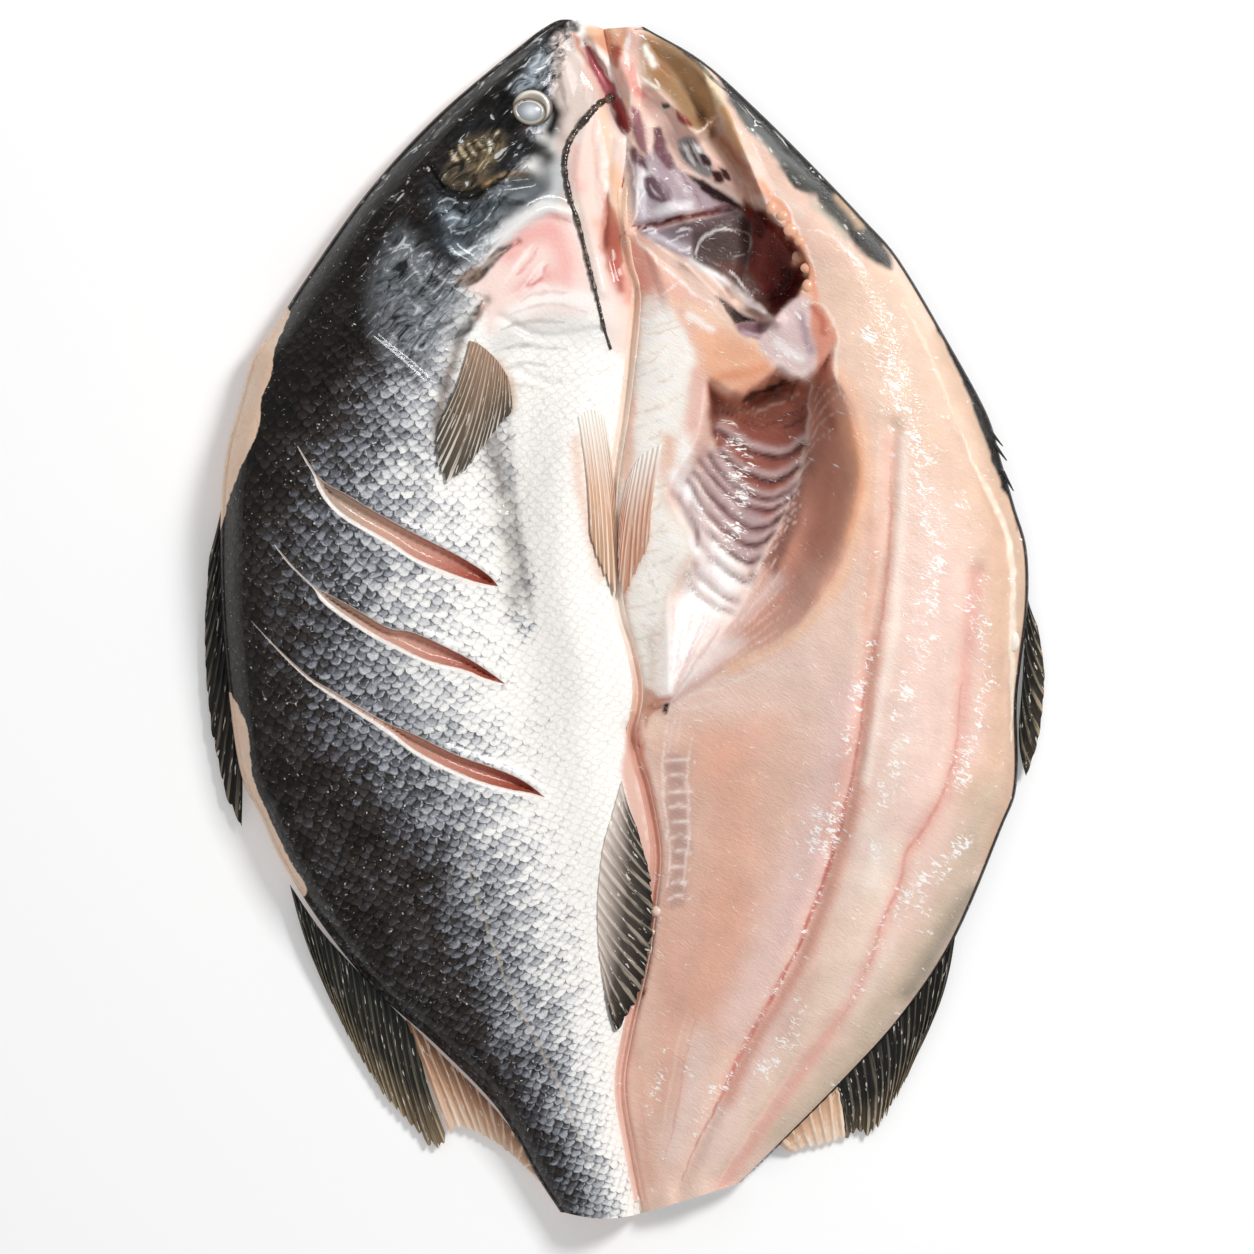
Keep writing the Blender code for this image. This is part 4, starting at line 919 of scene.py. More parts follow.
    # A painted sheen inside the cuts.
    sheen = node("MapRange", SMOOTH, Value=torn, From_Min=0.6, From_Max=0.7, To_Max=0.5)
    deep = node("Mix", RGBA, Factor=sheen, A=deep, B=linear("#eed9cf"))
    open_cut = node("MapRange", SMOOTH, Value=within, From_Min=0.0, From_Max=0.2)
    base = node("Mix", RGBA, Factor=open_cut, A=base, B=deep)
    # Flesh that shows past the edge of the skin.
    rim = node("Attribute", {"attribute_name": "rim"}).outputs["Fac"]
    rim = node("Math", TIMES_PLUS, i0=sway, i1=1.2, i2=node("Math", MINUS, i0=rim, i1=0.6))
    past = node("MapRange", SMOOTH, Value=rim, From_Min=-0.15, From_Max=0.15)
    flesh = node("Mix", RGBA, Factor=cloud, A=linear("#ffecd8"), B=linear("#f2c19f"))
    base = node("Mix", RGBA, Factor=past, A=base, B=flesh)
    # Relief: each scale rises towards the tail and drops at its rear edge, with fine creases.
    tilt = node("Math", TIMES, i0=rise, i1=scaly)
    tilt = node("Math", TIMES_PLUS, i0=node("Math", TIMES, i0=crease, i1=bare_dark), i1=2.2, i2=tilt)
    fine = node("Bump", Strength=0.45, Distance=0.0004, Height=fleck)
    broad = node("Bump", Strength=0.75, Distance=0.0005, Height=tilt, Normal=fine)
    shader = node(
        "BsdfPrincipled", Base_Color=base, Roughness=0.42, Normal=broad, Specular_IOR_Level=0.08,
        Coat_Weight=0.3, Coat_Roughness=0.06,
    )
    node("OutputMaterial", Surface=shader)
    return material


SKIN = scaled_skin()

# The skin wraps half way down the wall at the outer edge, and bare flesh lies below it.
skin_rings = half_rings(LEFT_EDGE, TAIL_BULGE)
strips = np.where(np.arange(AROUND) <= EDGE_COLUMN, 0, 1)
skin_side = loft("skin_side", skin_rings, EDGE_COLUMN, slots=strips, cap_slot=1)

# Two places at the outer edge where the skin has drawn back from the flesh.
SKIN_OUTSIDE = [
    [(-83.6, 76.3), (-87.3, 66.5), (-88.1, 59.7), (-90.4, 55), (-91.4, 46.4), (-94.9, 39.2), (-98.6, 30.4),
        (-100.9, 22.3), (-102.9, 22.3), (-102.9, 44.4), (-95.1, 69.5), (-86.3, 79.6)],
    [(-98.4, -18.8), (-94.1, -27.9), (-93.1, -38.9), (-89.4, -48.9), (-83.6, -61), (-79.3, -68),
        (-81.3, -70), (-88.9, -63.5), (-96.4, -45.9), (-100.9, -20.8)],
]


def lengths_over(rings):
    """Lengths along and across the fish over its surface, turned to follow the body as it bends
    to the tail: along - across * tan(lean) and across + the sum of tan(lean) over the length."""
    steps = np.diff(rings, axis=1)
    steps[..., 2] *= 0.7
    walked = np.cumsum(np.linalg.norm(steps, axis=2), axis=1)
    across = np.concatenate([np.zeros((len(rings), 1)), walked], axis=1)
    along = -rings[..., 1]
    places = np.linspace(-160, 160, 321)
    slope = np.tan(np.radians(np.interp(places, (-60, 0, 60, 120, 150), (-5, 5, 14, 21, 23))))
    turned = along - across * np.interp(along, places, slope)
    return turned, across + np.interp(along, places, np.cumsum(slope))


def dress_skin(piece, rings, **values):
    """Gives a piece the map and the values that the skin's material reads."""
    along, across = lengths_over(rings)
    lay_map(piece, "scales", (across / SCALE_BREADTH).ravel(), (along / SCALE_ROW).ravel())
    for name, value in values.items():
        note(piece, name, value)


CHEEK = [
    (-63.3, 94.6), (-56.2, 98.4), (-46.2, 94.6), (-36.1, 80.8), (-40.7, 69.5), (-46.2, 64.5), (-51.2, 57),
    (-57.5, 61.5), (-63.3, 72),
]

x, y = skin_rings[..., 0], skin_rings[..., 1]
on_top = np.zeros(x.shape)
on_top[:, : EDGE_COLUMN + 1] = 1
tint = np.where(on_top.ravel()[:, None] > 0, paint(x, y, HEAD_PAINT + SKIN_PAINT), linear("#dcb8a4"))
side, half, share = slash_marks(x, y)
slash = np.stack([side, np.where(on_top > 0, half, -NO_CUT), share, 1 + 0 * x], axis=-1)
rim = np.max([depth_inside(x, y, outline, 6) for outline in SKIN_OUTSIDE], axis=0)
head = ramp(70, 86, y + 0.35 * x)
scaly = (1 - head) * (1 - tint[:, 3].reshape(x.shape) * on_top)
bald = np.maximum(head, ramp(-4, 6, depth_inside(x, y, CHEEK, 12))) * on_top
dress_skin(
    skin_side, skin_rings, pigment=skin_pigment(x, y).ravel(), scaly=scaly.ravel(), bald=bald.ravel(),
    tint=tint, slash=slash.reshape(-1, 4), rim=np.where(on_top > 0, rim, -6).ravel(),
)
skin_side.data.materials.append(SKIN)
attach(skin_side, "root")
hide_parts("sea_bass")


# ---- Flesh half ------------------------------------------------------------------------------
# The other half, turned open: a strip of belly skin by the hinge, the emptied belly with its
# lining over the ribs, the opened head, and the long fillet with its two grooves. It is raw
# wet flesh, pink to cream, with the skin showing only as a dark line round its outer edge.

# Painted light: glow fde8dc is laid over the shade of the first groove.
# Painted shade: glow 8f8474 on the flesh beside the right soft fin.
# Painted shade: glow dd9e8b along the right side of the first groove.
FLESH_PAINT = strokes("""
area e6c6b0 0.9 9 44,92 64,92 82,70 92,44 94,24 84,14 69,24 62,47 54,67
area efd0c4 0.8 8 69,37 82,29 88,4 86,-36 74,-58 62,-69 59,-46 64,-21 68,4
area e8bfac 0.8 10 4,-31 34,-26 52,-36 44,-71 29,-101 14,-134 5,-141 4,-96 4,-61
area ead0bd 0.8 6 57,-61 69,-58 68,-71 59,-91 44,-116 29,-136 19,-141 34,-111 49,-84
glow ecb59c 0.65 8 19,-96 24,-71 28,-51 23,-31
glow f0b79f 0.6 6 24,-36 29,-31 35,-26
glow e0a48c 0.45 6 29,-72 27,-86 23,-99
glow f3d3c5 0.7 6 17,-18 24,-21 39,-18 52,-6
glow dfa893 0.5 5 9,-71 12,-96 10,-119
glow edcdc4 0.85 5.5 55,-21 50,-43 45,-58 40,-74 34,-89 28,-101
glow e2c0bb 0.6 3 57,-18 55,-36 50,-53 46,-66 40,-79
glow ead5cc 0.6 3.4 19,-106 17,-119 12,-134
glow ebcec5 0.7 3.6 42,-96 35,-109 28,-121 22,-134
glow f2ded0 0.9 4.5 69,-61 68,-69 62,-86 57,-96
glow f6e6da 0.9 3 61,-53 63,-58 61,-66
glow ead3c6 0.6 4 71,-26 67,-41 60,-58 55,-71
glow eccabf 0.7 4 86,-6 91,-21 88,-38 82,-53 76,-66 71,-79
glow ddb79e 0.85 5 92,34 94,14 94,-8 94,-31 88,-46
glow d0bba6 0.9 6 91,-46 84,-66 74,-86 62,-104 49,-119 39,-129
glow 8f8474 0.75 2.6 87,-69 82,-77 76,-87 71,-94
glow ccab92 0.9 2.6 79,70 86,54 91,42 95,27 99,14 100,-1 99,-21 97,-38 91,-61
line f8eddb 0.9 0.8 83.8,46.2 86.3,40.7 89.4,34.4 93.9,25.6 96.4,18.1 97.4,4.3 97.1,-15.8 96.9,-30.9
line f5e8d6 0.7 0.5 69.3,79.6 75.6,67 79.8,57 83.1,48.2
glow dcc0ac 0.8 3.6 59,89 64,80 71,67 74,54
glow efbfac 0.6 2.4 67,44 67,29 66,14 64,-1 61,-16 59,-28
glow dd9e8b 0.7 2.4 62,-6 61,-21 59,-38 55,-56 51,-69 45,-85 38,-97 31,-109 26,-120
glow fde8dc 0.85 1.5 69.5,44.5 69.5,29.5 68.5,14.5 67.5,-1 65,-16 62.5,-28.5 60.5,-41
line dd9284 0.7 0.4 66.5,41.9 66.5,24.3 65.3,9.3 63.8,-3.3 61.2,-13.3
line cc756b 0.85 0.65 60.7,-10.8 59.2,-25.9 57,-39.7 53,-56 49.2,-68 42.9,-83.6 36.1,-96.6 29.1,-109.4
  24.6,-119.7 19.1,-130.3 14.1,-141.3
line b95750 0.75 0.35 59.7,-24.6 57.2,-38.4 53.2,-55.5 49.7,-66 44.2,-81.1 39.7,-90.6 36.1,-96.6
glow e4a99b 0.7 2 88,11 85.5,-9 82.5,-38 76,-51 71,-59 68.5,-67.5 64.5,-77.5 58,-93.5 53,-101.5 40.5,-119.5
  32.5,-131 24.5,-143
line d48d80 0.65 0.5 84.3,-15.8 82.3,-35.9 76.8,-49.7 70.8,-58.5 68.5,-67.3 64.3,-76.6 58.7,-93.1 53,-101.7
line f6cdbd 0.9 0.5 52.2,-98.6 47.2,-103.7 41.7,-113.2 36.1,-122.2 29.1,-132.5 23.1,-143.1
line f4d4c6 0.6 0.4 16.6,-96.1 13.1,-108.7 11,-121.2 9,-133.8
line d99c8a 0.6 0.4 19.1,-98.6 15.1,-111.2 13.1,-123.7 10,-136.3
line f7e2d6 0.7 0.4 10,-22.3 16.6,-19.3 22.8,-18.3 29.6,-15.3 36.6,-11.8
line f7e2d6 0.6 0.4 11,-23.8 19.1,-22.1 26.6,-20.8
area fff8ef 1 2.6 4,80 11,78 17,71 19,62 20,54 17,44 12,37 10,29 17,19 14,12 11,4 9,-6 9,-18 5,-22 3,-18 1,-6
  -2,9 -3,29 -1,49 1,70
""")

# Fine wrinkles across the white strip beside the cavity: white lines of painted highlight and
# beige ones of painted shade.
for turn in range(47):
    down = 2.1 * turn
    code, breadth = (("#d9c9bb", 0.3), ("#ffffff", 0.42), ("#e6d4c6", 0.26))[turn % 3]
    start, end = (3 + 3 * math.sin(3 * turn), 76 - down), (12 + 3 * math.sin(7 * turn), 79 - down)
    middle = (7.5 + 2 * math.sin(3 * turn), 77 - down + 0.8 * math.sin(5 * turn))
    FLESH_PAINT.append(("line", code, 0.7, breadth, [start, middle, end]))

# Painted highlights: lines dcb8a4 and cda692 on the folds below the flap.
# Painted highlights: the white glows ffffff on the lower ribs.
# Painted shade: glow 7a3a29 and the dark wedge 1f0906 under the edge of the flap.
FLESH_PAINT += strokes("""
glow e9cfb9 0.7 2 2,69.5 1,54.5 -0.5,37
glow e9b6a8 0.75 2.2 19,60.5 18.5,52 16.5,44.5 19,40.5
glow ebc0a6 0.8 1.8 11,44.5 14,41.5 16.5,37 14,35
glow d8c2b3 0.6 1.4 6.5,-6 7,-13.5 6,-21
glow eec3b1 0.8 2.4 -3,70 -1,61 -1,52
glow e9b9a8 0.6 1.6 18,61.5 17,54.5 16.5,48
glow f2bfa8 0.8 2.2 12,43 11,37 12.5,32
glow ecc8b9 0.7 1.4 20,49.5 19.5,45.5
glow fffaf6 0.95 2.6 15,43 16,37 18,29
line cdb9ad 0.5 0.35 4,14.3 7,9.3 9,4.3
line cdb9ad 0.5 0.35 3,-0.8 6.5,-3.3 10,-4.8
area 8f5144 1 1 22,61.5 29.5,55.5 36.5,60 44,60.5 47,58 46,44.5 43,33 39,24.5 34,18 30.5,20.5 28,29.5
  24.5,39.5 21,49.5
glow bd8272 0.8 1.8 23,59.5 23,54.5 25.5,48
glow b3877a 0.7 1.2 29,53.5 34,52.5 40.5,55
area a4614d 0.95 0.8 20.6,59 29.4,54.5 40.2,60 46.2,60 45.7,53.2 40.2,49.9 35.4,47.9 31.6,48.4 24.6,52
  21.1,54.5
glow 7a3a29 0.8 1.2 31,53.5 36.5,55.5 42,58
line dcb8a4 0.8 0.35 30.1,53.7 34.1,52.2 40.2,54.2 45.7,57.2
line cda692 0.8 0.3 25.1,53.7 30.4,51.5 36.1,50.5
line 5c2c22 0.9 0.4 24.8,51.7 31.9,48.2 35.4,47.9 40.2,49.9 45.7,52.7
area 1f0906 1 0.4 28.9,55.2 31.1,57.2 34.6,59 39.9,60.7 37.4,58.7 33.9,56.7 31.6,55 30.1,54
line 3a140d 0.9 0.4 40.7,54 42.2,57.2 43.7,60
line 4a1c17 0.9 0.5 40.2,47.7 43.2,48.7 45.9,50.2
line 5c2c28 0.8 0.4 23.1,48.4 26.6,44.9 32.1,42.9
area a98e91 0.9 1.8 21,42.5 25.5,40 32,29.5 36.5,22 33.5,12.5 28.5,14.5 23.5,22.5 20,32.5
area fbf5f2 1 3 12,34 19,29 25,18 30,12 29,4 25,-1 19,-8 13,-18 10,-21 9,-11 11,2 17,12 18,18 14,27
area cf937e 1 1.2 47,60 53,61.5 57,54 59,45.5 60,35.5 59,28 55.5,16 52,8.5 41.5,-3.5 24.5,-13 16.5,-18.5
  11,-22 16.5,-12 24.5,-3.5 33,7 36.5,18 43,33 46,44.5
glow e3ad96 0.85 3.4 54,56 57,47 58,39 58,28 55,17 51,8
glow f0b08a 0.85 2.2 56,48 58,42 59,35 58.5,27.5 56.5,20.5
glow 9a5542 0.7 1.6 49,58 50,53 52,48
glow b57c6c 0.7 2.4 50,58 49,47 46,34 42,24
glow 8d6356 0.85 1.9 45.5,39 43.5,29.5 41,21.5 36.5,14
glow d3a797 0.8 3.4 47,12 43,3 37,-5 28,-10
glow e3cac3 0.7 3 38,9 30,1 23,-7 17,-13
area f6e8e4 0.8 2.6 30,-6 25,-11 17,-17 11,-22 15,-14 23,-6
line dcc2b8 0.9 0.7 46.9,58.5 45.7,44.4 42.7,32.9 36.1,17.6 32.9,11.5 25.9,-1.3 19.1,-10.8 12,-20.8
line f8ece6 0.9 0.8 34.6,13.8 29.6,4.8 24.6,-3.3 18.6,-11.8 11.5,-21.3
glow efc4a8 0.9 1.5 53.5,61.5 58,54 60,44.5 61.5,35 60,26.5 56.5,15 53,8 42.5,-4.5 26.5,-13
area 14110f 1 0.5 70.5,89.1 77.3,78.1 83.8,65.5 88.4,56.5 92.4,46.4 94.9,37.9 96.9,29.4 98.4,21.8 96.9,28.1
  94.6,32.4 92.1,38.9 89.6,46.4 86.3,55 81.8,65 76.3,76.6
line 14110f 1 0.5 97.4,-45.4 95.9,-51 93.4,-58.5 90.4,-66 87.3,-72.3 83.8,-79.8
line b9c6cf 0.95 0.55 84.8,-79.6 79.3,-88.1 72.8,-96.9 66.3,-105.2 59.2,-112.7 53.7,-118.7
line 5d6467 0.8 0.5 85.8,-80.6 80.1,-89.6 73.8,-98.1 66.8,-106.7 59.7,-114.2
glow ffffff 0.9 1.5 22.5,17.5 25,13 24,7
glow ffffff 0.9 1.8 12.5,35.5 16,29.5 18,23.5
glow ffffff 0.8 1.2 15.5,33.5 17,30 18,26.5
glow ffffff 0.85 1.4 18,19 19.5,14 20,7.5
glow 855b50 0.8 1.5 42,25.5 40,18 38,11.5
glow 7a4236 0.7 1.8 30.5,50.5 34.5,49.5 39,50.5
glow d9a999 0.6 2.4 57,-30 54,-42 51,-55
glow dcae98 0.7 2 62,24.5 61.5,12 60.5,-1
glow d9b3a3 0.6 2.4 47,-89 44,-97 40,-105
glow b26a54 0.8 1 6.5,-22.5 8.5,-21 11,-20.5
""")

# Each hollow between two ribs: a pale rib beside it, a soft shadow, and a dark end.
for gap, strength in zip(RIB_GAPS, (1, 1, 1, 0.9, 0.9, 0.85, 0.7, 0.55, 0.5, 0.45, 0.4)):
    FLESH_PAINT.append(("glow", "#d3bcba", 0.7 * strength, 1.0, [(px + 0.4, py + 1.5) for px, py in gap]))
    FLESH_PAINT.append(("glow", "#6a3430", 0.85 * strength, 0.8, gap))
    FLESH_PAINT.append(("line", "#3a1512", 0.9 * strength, 0.5, gap[len(gap) // 2 :]))

FAN_CENTRE = (11.5, -21)


def fan_stroke(bearing, reaches):
    """Places at the given distances from the fan's centre, on a bearing in degrees."""
    (x, y), turn = FAN_CENTRE, math.radians(bearing)
    return [(x + reach * math.cos(turn), y + reach * math.sin(turn)) for reach in reaches]


# Fibres of the cavity's side wall fan out from its tail end and slant off its edge.
WALL_EDGE = [
    (46.9, 57), (45.7, 44.4), (42.7, 32.9), (36.1, 17.6), (32.9, 11.5), (25.9, -1.3), (19.1, -10.8),
]
for turn in range(16):
    near, far = 16 + 5 * math.sin(5 * turn), 34 + 0.9 * turn + 5 * math.cos(7 * turn)
    fibre = fan_stroke(14 + 3.9 * turn, (near, (near + far) / 2, far))
    FLESH_PAINT.append(("line", "#f0dcd3", 0.55, 0.24, fibre))
for turn, (px, py) in enumerate(spread(smooth_line(WALL_EDGE), np.linspace(0.05, 0.95, 18))):
    reach = 9 + 4 * math.sin(7 * turn)
    fibre = [(px + 0.4, py), (px + 0.3 * reach, py + 0.5 * reach), (px + 0.75 * reach, py + 0.9 * reach)]
    FLESH_PAINT.append(("line", "#efd9cf", 0.55, 0.24, fibre))
for turn in range(9):
    fibre = fan_stroke(56 + 4 * turn, (5, 14, 24 + 3 * math.sin(5 * turn)))
    FLESH_PAINT.append(("line", ("#c9adb2", "#ffffff", "#dcc4c4")[turn % 3], 0.6, 0.3, fibre))

# The row of fin bones behind the vent shows through the flesh like a ladder: rungs, then rails.
FLESH_PAINT.append(("glow", "#c9a599", 0.85, 2.6, [(13, -36), (13, -46), (14, -56), (13, -70)]))
for step in range(10):
    rung, bow = -36.2 - 3.8 * step, 9.4 + 2 * math.sin(0.27 * step)
    FLESH_PAINT.append(("glow", "#b8948b", 0.5, 1.1, [(bow + 1.6, rung - 1.7), (14.6, rung - 1.5)]))
    start, end = (bow, rung - 0.5), (17.3 + 0.6 * math.cos(3 * step), rung - 0.4)
    bone = [start, (bow + 1.6, rung + 0.2), (14.6, rung + 0.3), end]
    FLESH_PAINT.append(("line", "#fff0e8", 0.9, 0.36, bone))
FLESH_PAINT += strokes("""
line fff0e8 0.8 0.42 11,-26.9 9.5,-37.9 10,-45.9 11,-53.5 11.5,-61.5 10.8,-71
line fff0e8 0.7 0.42 17.1,-30.4 16.1,-36.4 15.8,-43.4 16.1,-51 15.8,-59 15.1,-71
line f6e0d6 0.6 0.35 13.1,-23.8 11.5,-30.4 11,-36.4
line f6e0d6 0.5 0.35 15.1,-22.3 13.6,-28.4 13.1,-33.9
area bd8870 0.85 0.9 5,-17.5 7.5,-19 9.5,-21 11,-22.5 9,-24 7,-25 5.5,-28 4.5,-25
line 8a4c3b 0.9 0.4 6,-22.6 8.3,-22.6 10.5,-22.1
line e9c7b2 0.9 0.5 9.8,-22.6 7.8,-24.6 5.3,-28.1
""")

